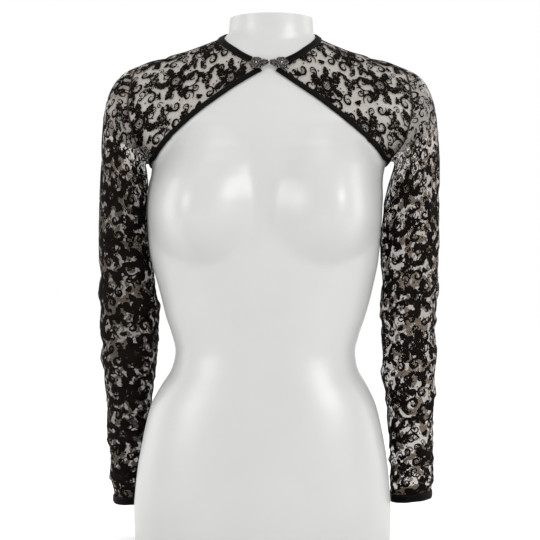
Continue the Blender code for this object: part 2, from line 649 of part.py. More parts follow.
def build_neck_band(form, material, collection):
    """One strip from the throat round the back of the neck and to the throat again."""
    edges = []
    for beyond in (0.0, NECK_BAND_WIDTH):
        halves = []
        for side in (-1, 1):
            front = neck_line(form, side, 1, beyond)
            halves.append(np.vstack([front, neck_line(form, side, -1, beyond)[1:]]))
        edges.append(np.vstack([halves[0], halves[1][-2::-1]]))
    return wall_on_form("neck_binding", np.stack(edges), BINDING_THICKNESS, material, collection)


def build_hem_binding(form, name, table, sides, facing, material, collection):
    """A strip along one stretch of the lower edge: one front's, or the back's across both sides."""
    edges = [lower_edge(form, table, side, facing, HEM_STEPS) for side in sides]
    strips = [np.stack([above_edge(form, edge, HEM_BAND_WIDTH, facing), edge]) for edge in edges]
    strip = strips[0]
    if len(strips) > 1:
        strip = np.concatenate([strips[0][:, ::-1], strips[1][:, 1:]], axis=1)
    return wall_on_form(name, strip, BINDING_THICKNESS, material, collection)


# Sleeves.


def sleeve_axes(table, station):
    """A ring's middle, its half width towards the outside of the arm, and its half depth forwards."""
    rows = [(i, *row) for i, row in enumerate(table)]
    ring = {name: read_table(rows, i + 1, station) for i, name in enumerate(SLEEVE_COLUMNS)}
    outer = np.stack([ring["outer_x"], ring["middle_y"], ring["outer_z"]], axis=-1)
    inner = np.stack([ring["inner_x"], ring["middle_y"], ring["inner_z"]], axis=-1)
    forward = np.stack([0 * ring["half_depth"], -ring["half_depth"], 0 * ring["half_depth"]], axis=-1)
    return (outer + inner) / 2, (outer - inner) / 2, forward


def sleeve_armhole(form, side):
    """The sleeve's first ring, with its normals: shoulder, front, underarm, back."""
    front = armhole_seam(form, side, 1, SEAM_GAP / 2)
    back = armhole_seam(form, side, -1, SEAM_GAP / 2)
    return np.vstack([front, back[-2:0:-1]])


def fold_height(folds, station, run, angle):
    """How far the folds move the cloth outwards, at a station, its length down the sleeve and angle."""
    stations = station[:, 0]
    total = np.zeros(np.broadcast_shapes(run.shape, angle.shape))
    for fold in folds:
        fold = dict(zip(FOLD_COLUMNS, fold))
        turn = (angle - math.radians(fold["angle"]) + math.pi) % (2 * math.pi) - math.pi
        middle = np.interp(fold["station"], stations, run[:, 0]) + fold["slant"] * turn
        fade = np.cos(np.clip(turn / math.radians(fold["spread"]), -1, 1) * math.pi / 2) ** 2
        total += fold["height"] * fade * np.exp(-(((run - middle) / fold["half_width"]) ** 2))
    return total


def outward_normals(grid):
    """Normals of a grid that is closed from its last column to its first, pointing out of the tube."""
    around = np.roll(grid, -1, axis=1) - np.roll(grid, 1, axis=1)
    along = np.gradient(grid, axis=0)
    normal = np.cross(around, along)
    normal /= np.linalg.norm(normal, axis=-1, keepdims=True)
    out = grid - grid.mean(axis=1, keepdims=True)
    return normal * np.sign((normal * out).sum())


def build_sleeve(form, side, table, folds, collection, cloth, binding):
    """A sleeve's wall, from the armhole to the cuff, and the band round its cuff."""
    stations = np.concatenate([np.linspace(a, b, n, endpoint=False) for a, b, n in SLEEVE_RINGS])
    stations = np.append(stations, SLEEVE_RINGS[-1][1])[:, None]
    armhole = sleeve_armhole(form, side)
    angle = np.arange(len(armhole))[None, :] * 2 * math.pi / len(armhole)
    middle, width, depth = sleeve_axes(table, stations)
    power = 2 / SLEEVE_POWER
    across = signed_power(np.cos(angle), power)[..., None]
    forward = signed_power(np.sin(angle), power)[..., None]
    grid = (middle + across * width + forward * depth) * (side, 1, 1)
    blend = smooth_step(stations / CAP_BLEND_STATIONS)[..., None]
    grid = grid + (1 - blend) * (armhole[None, :, :3] - grid[:1])
    run = np.concatenate(([0.0], np.cumsum(np.linalg.norm(np.diff(middle[:, 0], axis=0), axis=1))))
    bump = fold_height(folds, stations, run[:, None], angle)
    grid = grid + outward_normals(grid) * bump[..., None]
    grid[1:] = clear_of_form(form, grid, outward_normals(grid))[1:]
    normal = outward_normals(grid)
    normal[0] = armhole[:, 3:]
    name = "right" if side < 0 else "left"
    add_wall("sleeve_" + name, grid, grid + normal * CLOTH_THICKNESS, True, cloth, collection)
    down = np.array((0.0, 0.0, -1.0))
    cuff = np.stack([grid[-1] + down * SEAM_GAP, grid[-1] + down * (SEAM_GAP + CUFF_BAND_HEIGHT)])
    out = cuff - cuff.mean(axis=1, keepdims=True)
    out /= np.linalg.norm(out, axis=-1, keepdims=True)
    add_wall("cuff_band_" + name, cuff, cuff + out * CUFF_THICKNESS, True, binding, collection)


def clear_of_form(form, grid, normals):
    """The grid with each point moved out that is too near to the form. Where the tube's outside faces
    the form, its wall lies between them and needs its thickness too."""
    moved = grid.copy()
    for row, column in np.ndindex(grid.shape[:2]):
        place, normal = grid[row, column], normals[row, column]
        near = form.nearest(place, 0.0)
        clearance = CLOTH_CLEARANCE + CLOTH_THICKNESS * max(0.0, -float(np.dot(normal, near[3:])))
        if np.dot(place - near[:3], near[3:]) < clearance:
            moved[row, column] = near[:3] + near[3:] * clearance
    return moved


# The clasp.


def clasp_seat(form, x, radius, covered):
    """A flat seat over the bands: its middle, raised clear of the covered points, and its normal."""
    seat = point_at_height(form, x, ROSETTE_Z, 1)
    middle, normal = Vector(seat[:3]), Vector(seat[3:])
    near = [Vector(p) - middle for p in covered if (Vector(p) - middle).length < 2 * radius]
    lift = max(p.dot(normal) for p in near)
    return middle + normal * (lift + CLASP_SEAT_GAP), normal


def disc_ring(radius, height, sides, scallop, petals):
    ring = []
    for i in range(sides):
        turn = 2 * math.pi * i / sides
        reach = radius * (1 + scallop * (abs(math.cos(petals * turn / 2)) - SCALLOP_MIDDLE))
        ring.append((reach * math.cos(turn), reach * math.sin(turn), height))
    return ring


def rosette_mesh():
    """A flat-backed disc with a scalloped rim, a raised ring of petals and a raised middle."""
    points = disc_ring(ROSETTE_RADIUS, 0.0, ROSETTE_SIDES, ROSETTE_SCALLOP, ROSETTE_PETALS)
    for share, up in ROSETTE_PROFILE:
        ring = (ROSETTE_RADIUS * share, ROSETTE_HEIGHT * up, ROSETTE_SIDES, ROSETTE_SCALLOP * share)
        points += disc_ring(*ring, ROSETTE_PETALS)
    last = len(points) - ROSETTE_SIDES
    faces = grid_faces(len(ROSETTE_PROFILE) + 1, ROSETTE_SIDES, True)
    faces.append(tuple(reversed(range(ROSETTE_SIDES))))
    faces += [(last + i, last + (i + 1) % ROSETTE_SIDES, len(points)) for i in range(ROSETTE_SIDES)]
    points.append((0.0, 0.0, ROSETTE_HEIGHT))
    return points, faces


def build_rosette(form, side, name, covered, material, collection):
    """One rosette on its seat. Returns the place beside its rim where the clasp's bar or hook starts."""
    middle, normal = clasp_seat(form, CLASP_SHIFT + side * ROSETTE_X, ROSETTE_RADIUS, covered)
    seat = Matrix.Translation(middle) @ normal.to_track_quat("Z", "Y").to_matrix().to_4x4()
    points, faces = rosette_mesh()
    add_mesh(name, [seat @ Vector(p) for p in points], faces, material, collection)
    inwards = Vector((-side, 0.0, 0.0))
    inwards = (inwards - normal * inwards.dot(normal)).normalized()
    rim = ROSETTE_RADIUS * (1 + ROSETTE_SCALLOP * (1 - SCALLOP_MIDDLE))
    return middle + inwards * (rim + LINK_GAP) + normal * BAR_LIFT


def add_wire(name, points, closed, up, material, collection):
    """A round wire along points that lie in one plane, with `up` at right angles to that plane."""
    points = [Vector(p) for p in points]
    up = Vector(up)
    rings = []
    for i, point in enumerate(points):
        before = points[i - 1] if closed or i else point
        after = points[(i + 1) % len(points)] if closed or i + 1 < len(points) else point
        side = (after - before).normalized().cross(up)
        for turn in np.arange(WIRE_SIDES) * 2 * math.pi / WIRE_SIDES:
            rings.append(point + (up * math.sin(turn) + side * math.cos(turn)) * WIRE_RADIUS)
    rows = len(points) + 1 if closed else len(points)
    faces = [tuple(corner % len(rings) for corner in face) for face in grid_faces(rows, WIRE_SIDES, True)]
    if not closed:
        faces.append(tuple(reversed(range(WIRE_SIDES))))
        faces.append(tuple(len(rings) - WIRE_SIDES + i for i in range(WIRE_SIDES)))
    if signed_volume(np.array([tuple(p) for p in rings]), faces) < 0:
        faces = [tuple(reversed(face)) for face in faces]
    return add_mesh(name, rings, faces, material, collection)


def build_clasp(form, covered, material, collection):
    """The two rosettes, the eye between them, the hook that runs through it and the eye's short bar."""
    right = build_rosette(form, -1, "clasp_rosette_right", covered, material, collection)
    left = build_rosette(form, 1, "clasp_rosette_left", covered, material, collection)
    middle = (right + left) / 2 + Vector((EYE_X, 0.0, 0.0))
    turns = np.arange(EYE_STEPS) * 2 * math.pi / EYE_STEPS
    ring = [middle + Vector((math.cos(t), 0.0, math.sin(t))) * EYE_RADIUS for t in turns]
    add_wire("clasp_eye", ring, True, (0.0, 1.0, 0.0), material, collection)
    in_front = 2 * WIRE_RADIUS + LINK_GAP
    hook = [
        right,
        middle + Vector((-EYE_RADIUS - 2 * in_front, 0.0, 0.0)),
        middle + Vector((-EYE_RADIUS - 0.3 * in_front, -in_front, 0.0)),
        middle + Vector((-EYE_RADIUS * 0.45, -in_front, 0.0)),
        middle + Vector((0.0, -0.5 * in_front, 0.0)),
        middle + Vector((0.0, 0.5 * in_front, 0.0)),
    ]
    add_wire("clasp_hook", hook, False, (0.0, 0.0, 1.0), material, collection)
    bar = [middle + Vector((EYE_RADIUS + WIRE_RADIUS + LINK_GAP, 0.0, 0.0)), left]
    add_wire("clasp_bar", bar, False, (0.0, 0.0, 1.0), material, collection)


def main():
    clear_scene()
    collection = bpy.data.collections.new("bolero_jacket_on_form")
    bpy.context.scene.collection.children.link(collection)
    cloth, binding, metal, gloss = (make_material(name) for name in MATERIALS)
    form = FormSurface()
    build_form(gloss, collection)
    build_front(form, -1, "front_right", cloth, collection)
    build_front(form, 1, "front_left", cloth, collection)
    build_back(form, cloth, collection)
    neck = build_neck_band(form, binding, collection)
    hems = [
        build_hem_binding(form, "hem_binding_right", FRONT_EDGE, (-1,), 1, binding, collection),
        build_hem_binding(form, "hem_binding_left", FRONT_EDGE, (1,), 1, binding, collection),
    ]
    build_hem_binding(form, "hem_binding_back", BACK_EDGE, (-1, 1), -1, binding, collection)
    build_sleeve(form, -1, SLEEVE_RIGHT, FOLDS_RIGHT, collection, cloth, binding)
    build_sleeve(form, 1, SLEEVE_LEFT, FOLDS_LEFT, collection, cloth, binding)
    covered = [v.co for band in (neck, *hems) for v in band.data.vertices]
    build_clasp(form, covered, metal, collection)


main()
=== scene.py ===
"""The looks of a long-sleeved sheer bolero jacket, clasped at the throat, on a limbless dress form.

Metres, +Z up, the wearer faces -Y. Names such as sleeve_right use the wearer's own sides, so the
right sleeve is at -X.
"""

import json
import math

import bpy
import numpy as np
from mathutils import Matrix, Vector, noise
from mathutils.bvhtree import BVHTree

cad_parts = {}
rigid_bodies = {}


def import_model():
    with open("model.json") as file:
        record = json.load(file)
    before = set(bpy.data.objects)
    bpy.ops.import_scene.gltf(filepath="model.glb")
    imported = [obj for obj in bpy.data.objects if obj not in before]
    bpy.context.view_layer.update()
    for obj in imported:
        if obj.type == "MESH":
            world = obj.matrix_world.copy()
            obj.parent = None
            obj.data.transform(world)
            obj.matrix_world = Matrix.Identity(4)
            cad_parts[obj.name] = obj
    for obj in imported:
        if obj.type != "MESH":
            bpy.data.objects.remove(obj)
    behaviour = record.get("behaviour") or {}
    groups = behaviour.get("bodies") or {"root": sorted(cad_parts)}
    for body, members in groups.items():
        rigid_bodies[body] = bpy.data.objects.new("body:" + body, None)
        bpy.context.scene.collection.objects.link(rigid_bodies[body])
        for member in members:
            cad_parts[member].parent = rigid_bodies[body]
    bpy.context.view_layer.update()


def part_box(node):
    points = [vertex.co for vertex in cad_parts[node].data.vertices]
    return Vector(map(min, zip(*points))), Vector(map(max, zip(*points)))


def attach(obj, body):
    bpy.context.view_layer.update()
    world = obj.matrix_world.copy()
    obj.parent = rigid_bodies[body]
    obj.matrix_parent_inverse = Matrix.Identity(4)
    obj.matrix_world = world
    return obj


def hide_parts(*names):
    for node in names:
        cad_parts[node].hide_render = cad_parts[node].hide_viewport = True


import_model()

# Cloth and trim.
CLOTH_THICKNESS = 0.0012
CLOTH_CLEARANCE = 0.0012
SEAM_GAP = 0.0004
NECK_BAND_WIDTH = 0.0074
HEM_BAND_WIDTH = 0.0058
CUFF_BAND_HEIGHT = 0.0085
BAND_BULGE = 0.0013
BAND_EDGE = 0.25
BAND_COLUMNS = 9
BAND_LIFT = 0.0004
BAND_OVERLAP = 0.0010
FLOCK_LIFT = 0.0003
WELT_HALF_WIDTH = 0.0014
WELT_HEIGHT = 0.0006
WELT_SIDES = 8
# Stitches: how far across a band they lie, their spacing, length and thread's thickness, and between
# which shares of that length they vary.
STITCH_SHARE = 0.84
STITCH_SPACING = 0.0026
STITCH_LENGTH = 0.0019
STITCH_THICKNESS = 0.00042
STITCH_SHORTEST = 0.88
STITCH_LONGEST = 1.08
STITCH_SEED = 5
# Small crumples of the sleeves: their height, their size down and round the sleeve, where they start
# and are fully grown down its length, how much finer and lower their own crumples are, and how far
# apart the two sleeves lie in the noise.
CRUMPLE_HEIGHT = 0.0016
CRUMPLE_DOWN = 0.012
CRUMPLE_ROUND = 0.55
CRUMPLE_START = 0.10
CRUMPLE_FULL = 0.30
CRUMPLE_FINER = 2.3
CRUMPLE_LOWER = 0.5
CRUMPLE_APART = 9

# How finely each piece is made.
SURFACE_RINGS = 7
SURFACE_SIDES = 240
ARMHOLE_TURNS = 61
EDGE_STEPS = 40
ARMHOLE_STEPS = 56
HEM_STEPS = 72
NECK_BACK_STEPS = 30
WALK_STEPS = 6
SHELL_SIDES = 128
SHELL_SHARP_ANGLE = 50.0
RINGS_A_STATION = 4
SLEEVE_RINGS = ((0.0, 4.0, 56), (4.0, 8.0, 60), (8.0, 15.0, 150))
CAP_BLEND_STATIONS = 4.0
FLOCK_STEP_ACROSS = 0.00082
LONGEST_RUN = 6
# How near to a lattice's node its outline may cross a side, as shares of the side.
CROSSING_RANGE = (0.02, 0.98)

# The form, from its base up: height, half width, y of the front, y of the back, y of the widest line,
# sideways shift, exponent of the superellipse, and the short arm stubs' reach and half depth.
FORM_COLUMNS = ("height", "half_width", "front", "back", "middle", "shift", "power", "reach", "stub")
FORM_SECTIONS = (
    (0.0000, 0.1575, -0.094, 0.112, 0.006, -0.0070, 2.25, 0.0, 0.0),
    (0.0500, 0.1595, -0.098, 0.121, 0.006, -0.0069, 2.25, 0.0, 0.0),
    (0.0800, 0.1576, -0.099, 0.122, 0.006, -0.0067, 2.22, 0.0, 0.0),
    (0.1050, 0.1550, -0.099, 0.119, 0.006, -0.0064, 2.20, 0.0, 0.0),
    (0.1300, 0.1510, -0.098, 0.112, 0.005, -0.0060, 2.20, 0.0, 0.0),
    (0.1800, 0.1397, -0.093, 0.094, 0.003, -0.0056, 2.20, 0.0, 0.0),
    (0.2030, 0.1285, -0.089, 0.085, 0.001, -0.0048, 2.20, 0.0, 0.0),
    (0.2280, 0.1143, -0.085, 0.080, 0.000, -0.0040, 2.20, 0.0, 0.0),
    (0.2470, 0.1112, -0.083, 0.078, 0.000, -0.0033, 2.20, 0.0, 0.0),
    (0.2650, 0.1150, -0.083, 0.078, 0.000, -0.0031, 2.20, 0.0, 0.0),
    (0.2900, 0.1234, -0.084, 0.080, 0.001, -0.0030, 2.20, 0.0, 0.0),
    (0.3150, 0.1300, -0.085, 0.083, 0.002, -0.0026, 2.20, 0.0, 0.0),
    (0.3400, 0.1364, -0.087, 0.087, 0.003, -0.0032, 2.20, 0.0, 0.0),
    (0.3550, 0.1401, -0.088, 0.089, 0.003, -0.0039, 2.20, 0.0, 0.0),
    (0.3700, 0.1428, -0.090, 0.092, 0.004, -0.0047, 2.20, 0.0, 0.0),
    (0.3850, 0.1442, -0.091, 0.094, 0.004, -0.0046, 2.20, 0.0, 0.0),
    (0.4000, 0.1453, -0.092, 0.096, 0.005, -0.0045, 2.20, 0.0, 0.0),
    (0.4180, 0.1463, -0.093, 0.098, 0.005, -0.0045, 2.20, 0.0, 0.0),
    (0.4360, 0.1466, -0.094, 0.100, 0.006, -0.0038, 2.20, 0.0, 0.0),
    (0.4540, 0.1455, -0.094, 0.103, 0.008, -0.0028, 2.17, 0.0, 0.0),
    (0.4650, 0.1444, -0.093, 0.104, 0.009, -0.0010, 2.15, 0.1444, 0.050),
    (0.4750, 0.1436, -0.092, 0.105, 0.010, 0.0005, 2.13, 0.1450, 0.051),
    (0.4820, 0.1432, -0.091, 0.106, 0.011, 0.0012, 2.10, 0.1475, 0.052),
    (0.4880, 0.1434, -0.090, 0.106, 0.011, 0.0018, 2.08, 0.1525, 0.054),
    (0.4950, 0.1440, -0.089, 0.107, 0.012, 0.0022, 2.06, 0.1630, 0.056),
    (0.5020, 0.1460, -0.087, 0.107, 0.012, 0.0022, 2.04, 0.1770, 0.058),
    (0.5110, 0.1485, -0.085, 0.107, 0.012, 0.0022, 2.02, 0.1935, 0.060),
    (0.5210, 0.1505, -0.082, 0.107, 0.012, 0.0022, 2.00, 0.2025, 0.062),
    (0.5350, 0.1525, -0.078, 0.107, 0.012, 0.0022, 2.00, 0.2065, 0.063),
    (0.5480, 0.1530, -0.073, 0.105, 0.012, 0.0024, 2.00, 0.2040, 0.063),
    (0.5600, 0.1530, -0.069, 0.103, 0.012, 0.0025, 1.95, 0.2002, 0.061),
    (0.5715, 0.1510, -0.065, 0.100, 0.012, 0.0025, 1.90, 0.1948, 0.057),
    (0.5835, 0.1480, -0.060, 0.095, 0.012, 0.0022, 1.85, 0.1863, 0.050),
    (0.5955, 0.1440, -0.056, 0.089, 0.012, 0.0015, 1.72, 0.1700, 0.040),
    (0.6020, 0.1400, -0.053, 0.085, 0.012, 0.0008, 1.66, 0.1570, 0.031),
    (0.6080, 0.1300, -0.051, 0.081, 0.012, 0.0003, 1.62, 0.1375, 0.023),
    (0.6130, 0.1215, -0.049, 0.077, 0.012, 0.0000, 1.60, 0.0, 0.0),
    (0.6178, 0.1045, -0.0475, 0.073, 0.012, 0.0002, 1.60, 0.0, 0.0),
    (0.6228, 0.0905, -0.0465, 0.071, 0.012, 0.0006, 1.60, 0.0, 0.0),
    (0.6278, 0.0778, -0.0455, 0.069, 0.012, 0.0012, 1.62, 0.0, 0.0),
    (0.6328, 0.0655, -0.045, 0.067, 0.011, 0.0020, 1.72, 0.0, 0.0),
    (0.6375, 0.0570, -0.0445, 0.065, 0.010, 0.0030, 1.88, 0.0, 0.0),
    (0.6430, 0.0530, -0.044, 0.063, 0.009, 0.0038, 2.00, 0.0, 0.0),
    (0.6600, 0.0514, -0.0462, 0.059, 0.0071, 0.0041, 2.00, 0.0, 0.0),
)
# The form's smooth general bust: one low mound on each side.
BUST_SPACING = 0.076
BUST_HEIGHT = 0.416
BUST_DEPTH = 0.038
BUST_HALF_WIDTH = 0.068
BUST_REACH_UP = 0.112
BUST_REACH_DOWN = 0.068
BUST_OUTWARD = 0.30

# The arm stubs' sections: their exponent, and how sharply they join the body.
STUB_POWER = 2.4
STUB_JOIN = 3.0

# A line inside the shoulders, from which the yoke is measured: each point of the cloth has its
# place along X and its turn about this line, 0 at the top of the shoulder and a quarter turn in front.
YOKE_AXIS_Y = 0.012
YOKE_AXIS_NECK_Z = 0.585
YOKE_AXIS_SHOULDER_Z = 0.548
YOKE_AXIS_LEVEL_X = 0.060
YOKE_AXIS_LOW_X = 0.150

# The armhole seam: turn in degrees, and distance from its own middle.
ARMHOLE = (
    (0.0, 0.1640),
    (45.0, 0.1705),
    (90.0, 0.1740),
    (135.0, 0.1655),
    (165.0, 0.1525),
    (180.0, 0.1485),
    (195.0, 0.1515),
    (225.0, 0.1625),
    (270.0, 0.1705),
    (315.0, 0.1690),
    (360.0, 0.1640),
)
ARMHOLE_SHIFT = 0.0025
# The neck band's upper edge: angle about the neck in degrees, -90 in front, and height.
NECK_AXIS_X = 0.0025
NECK_AXIS_Y = 0.012
NECK_AXIS_TOP = 0.700
NECK_EDGE = (
    (-90.0, 0.5990),
    (-80.0, 0.6015),
    (-66.0, 0.6080),
    (-58.0, 0.6130),
    (-51.0, 0.6178),
    (-43.5, 0.6225),
    (-20.0, 0.6350),
    (0.0, 0.6415),
    (25.0, 0.6480),
    (60.0, 0.6530),
    (90.0, 0.6545),
)
NECK_BAND_START = -81.0
NECK_SHOULDER_ANGLE = -3.5
NECK_BAND_CLEARANCE = 0.0007
# The jacket's lower front edge, from the throat to the underarm: distance from its middle line,
# height, and how far that line lies from the middle of the form.
FRONT_EDGE = (
    (0.0080, 0.5866, 0.0010),
    (0.0234, 0.5769, -0.0004),
    (0.0421, 0.5646, -0.0014),
    (0.0603, 0.5521, -0.0012),
    (0.0769, 0.5399, -0.0016),
    (0.0925, 0.5279, -0.0014),
    (0.1068, 0.5160, -0.0009),
    (0.1205, 0.5040, 0.0000),
    (0.1315, 0.4925, 0.0010),
    (0.1385, 0.4830, 0.0015),
)
PANEL_TIP_X = 0.0170
PANEL_TIP_Z = 0.5920
# The lower back edge, in the same columns.
BACK_EDGE = (
    (0.0, 0.4620, 0.0),
    (0.0500, 0.4630, 0.0),
    (0.1000, 0.4670, 0.0),
    (0.1280, 0.4730, 0.0),
)
BELOW_JACKET_Z = 0.300
# Each sleeve by stations: outer x and height, inner x and height, half depth, and y of the middle.
SLEEVE_COLUMNS = ("outer_x", "outer_z", "inner_x", "inner_z", "half_depth", "middle_y")
SLEEVE_RIGHT = (
    (0.1590, 0.6015, 0.1460, 0.4840, 0.0600, 0.0120),
    (0.1745, 0.5940, 0.1512, 0.4836, 0.0600, 0.0120),
    (0.1865, 0.5820, 0.1532, 0.4790, 0.0595, 0.0120),
    (0.1955, 0.5680, 0.1525, 0.4725, 0.0590, 0.0125),
    (0.2015, 0.5510, 0.1518, 0.4640, 0.0580, 0.0130),
    (0.2045, 0.5300, 0.1508, 0.4540, 0.0570, 0.0135),
    (0.2069, 0.5000, 0.1498, 0.4370, 0.0560, 0.0140),
    (0.2088, 0.4550, 0.1485, 0.4150, 0.0545, 0.0150),
    (0.2104, 0.4000, 0.1460, 0.3780, 0.0520, 0.0170),
    (0.2110, 0.3450, 0.1430, 0.3330, 0.0495, 0.0210),
    (0.2091, 0.2900, 0.1390, 0.2830, 0.0470, 0.0280),
    (0.2085, 0.2400, 0.1418, 0.2360, 0.0445, 0.0380),
    (0.2057, 0.1800, 0.1498, 0.1770, 0.0405, 0.0560),
    (0.2032, 0.1300, 0.1531, 0.1280, 0.0370, 0.0700),
    (0.2016, 0.0880, 0.1536, 0.0870, 0.0345, 0.0800),
    (0.1980, 0.0570, 0.1516, 0.0565, 0.0330, 0.0870),
)
SLEEVE_LEFT = (
    (0.1640, 0.6005, 0.1510, 0.4840, 0.0600, 0.0120),
    (0.1795, 0.5930, 0.1562, 0.4836, 0.0600, 0.0120),
    (0.1915, 0.5825, 0.1582, 0.4790, 0.0595, 0.0120),
    (0.2005, 0.5680, 0.1572, 0.4725, 0.0590, 0.0125),
    (0.2065, 0.5515, 0.1548, 0.4640, 0.0580, 0.0130),
    (0.2100, 0.5300, 0.1515, 0.4540, 0.0570, 0.0135),
    (0.2125, 0.5000, 0.1478, 0.4370, 0.0560, 0.0140),
    (0.2135, 0.4550, 0.1450, 0.4150, 0.0545, 0.0145),
    (0.2125, 0.4000, 0.1420, 0.3780, 0.0520, 0.0150),
    (0.2110, 0.3450, 0.1420, 0.3330, 0.0495, 0.0165),
    (0.2095, 0.2900, 0.1430, 0.2830, 0.0470, 0.0190),
    (0.2100, 0.2400, 0.1450, 0.2360, 0.0445, 0.0220),
    (0.2065, 0.1800, 0.1500, 0.1770, 0.0405, 0.0270),
    (0.2070, 0.1300, 0.1545, 0.1280, 0.0370, 0.0320),
    (0.2070, 0.0950, 0.1555, 0.0930, 0.0345, 0.0350),
    (0.2055, 0.0700, 0.1550, 0.0650, 0.0330, 0.0370),
)
SLEEVE_POWER = 2.15

# The sleeves' largest folds: station, angle round the sleeve in degrees (0 outside, 90 in front),
# half spread in degrees, height (a trough is negative), half width, and slant down per radian.
FOLD_COLUMNS = ("station", "angle", "spread", "height", "half_width", "slant")
FOLDS_RIGHT = (
    (6.2, 125.0, 85.0, 0.0030, 0.0150, 0.014),
    (7.0, 70.0, 80.0, -0.0022, 0.0140, 0.012),
    (7.7, 215.0, 90.0, 0.0028, 0.0140, -0.010),
    (8.4, 100.0, 95.0, 0.0028, 0.0130, 0.008),
    (9.0, 20.0, 85.0, -0.0026, 0.0120, -0.006),
    (9.6, 160.0, 90.0, 0.0034, 0.0120, 0.007),
    (10.2, 330.0, 90.0, 0.0030, 0.0115, 0.005),
    (10.7, 80.0, 80.0, -0.0030, 0.0110, -0.006),
    (11.1, 60.0, 95.0, 0.0036, 0.0110, 0.005),
    (11.6, 250.0, 95.0, 0.0034, 0.0110, -0.006),
    (12.0, 40.0, 85.0, -0.0028, 0.0110, 0.004),
    (12.4, 90.0, 100.0, 0.0034, 0.0105, -0.005),
    (12.9, 10.0, 80.0, 0.0026, 0.0105, 0.005),
    (13.3, 120.0, 85.0, -0.0028, 0.0105, 0.004),
    (13.8, 70.0, 95.0, 0.0030, 0.0100, -0.003),
    (14.4, 300.0, 100.0, 0.0024, 0.0100, 0.003),
)
FOLDS_LEFT = (
    (6.0, 130.0, 80.0, 0.0028, 0.0150, 0.013),
    (6.9, 80.0, 85.0, -0.0022, 0.0140, 0.012),
    (7.6, 230.0, 90.0, 0.0028, 0.0140, -0.010),
    (8.2, 60.0, 90.0, 0.0028, 0.0130, -0.008),
    (8.8, 150.0, 85.0, -0.0028, 0.0120, 0.006),
    (9.3, 340.0, 85.0, 0.0030, 0.0120, 0.006),
    (9.8, 110.0, 100.0, 0.0036, 0.0115, -0.006),
    (10.4, 40.0, 85.0, -0.0030, 0.0110, 0.006),
    (10.9, 90.0, 95.0, 0.0038, 0.0110, 0.005),
    (11.4, 200.0, 90.0, 0.0030, 0.0110, 0.005),
    (11.8, 20.0, 80.0, 0.0032, 0.0110, -0.004),
    (12.3, 100.0, 95.0, -0.0030, 0.0105, -0.005),
    (12.7, 65.0, 100.0, 0.0034, 0.0105, 0.005),
    (13.2, 290.0, 95.0, 0.0030, 0.0105, 0.004),
    (13.7, 130.0, 85.0, -0.0026, 0.0105, 0.003),
    (14.3, 50.0, 100.0, 0.0024, 0.0100, -0.003),
)

# Smaller creases and crumples, in the same columns as the folds.
CREASES_RIGHT = (
    (5.2, 60.0, 45.0, -0.0016, 0.0080, 0.016),
    (5.8, 110.0, 40.0, 0.0014, 0.0070, -0.014),
    (6.6, 30.0, 50.0, -0.0018, 0.0075, 0.020),
    (7.2, 140.0, 45.0, -0.0018, 0.0070, -0.016),
    (7.5, 300.0, 55.0, 0.0018, 0.0075, 0.012),
    (8.1, 60.0, 50.0, 0.0020, 0.0065, -0.018),
    (8.6, 185.0, 55.0, -0.0020, 0.0065, 0.010),
    (8.9, 120.0, 40.0, 0.0018, 0.0060, 0.014),
    (9.3, 75.0, 55.0, -0.0022, 0.0055, 0.010),
    (9.5, 0.0, 50.0, 0.0022, 0.0060, -0.010),
    (9.9, 130.0, 60.0, -0.0022, 0.0055, -0.012),
    (10.1, 50.0, 45.0, 0.0020, 0.0050, 0.012),
    (10.5, 200.0, 60.0, 0.0020, 0.0055, -0.008),
    (10.6, 340.0, 45.0, -0.0024, 0.0050, 0.006),
    (10.9, 110.0, 50.0, 0.0022, 0.0050, 0.010),
    (11.3, 20.0, 50.0, -0.0024, 0.0050, -0.008),
    (11.5, 150.0, 55.0, -0.0022, 0.0050, 0.008),
    (11.8, 80.0, 60.0, 0.0024, 0.0048, 0.008),
    (12.1, 300.0, 60.0, 0.0022, 0.0050, 0.006),
    (12.2, 170.0, 45.0, -0.0022, 0.0048, -0.008),
    (12.6, 60.0, 50.0, -0.0024, 0.0045, 0.008),
    (12.8, 120.0, 55.0, 0.0022, 0.0048, -0.006),
    (13.1, 0.0, 50.0, -0.0022, 0.0045, 0.006),
    (13.4, 60.0, 45.0, 0.0022, 0.0045, 0.008),
    (13.6, 180.0, 55.0, -0.0020, 0.0048, -0.006),
    (14.0, 110.0, 50.0, -0.0020, 0.0042, 0.006),
    (14.2, 20.0, 55.0, 0.0018, 0.0045, 0.004),
    (14.7, 80.0, 60.0, -0.0014, 0.0040, 0.004),
)
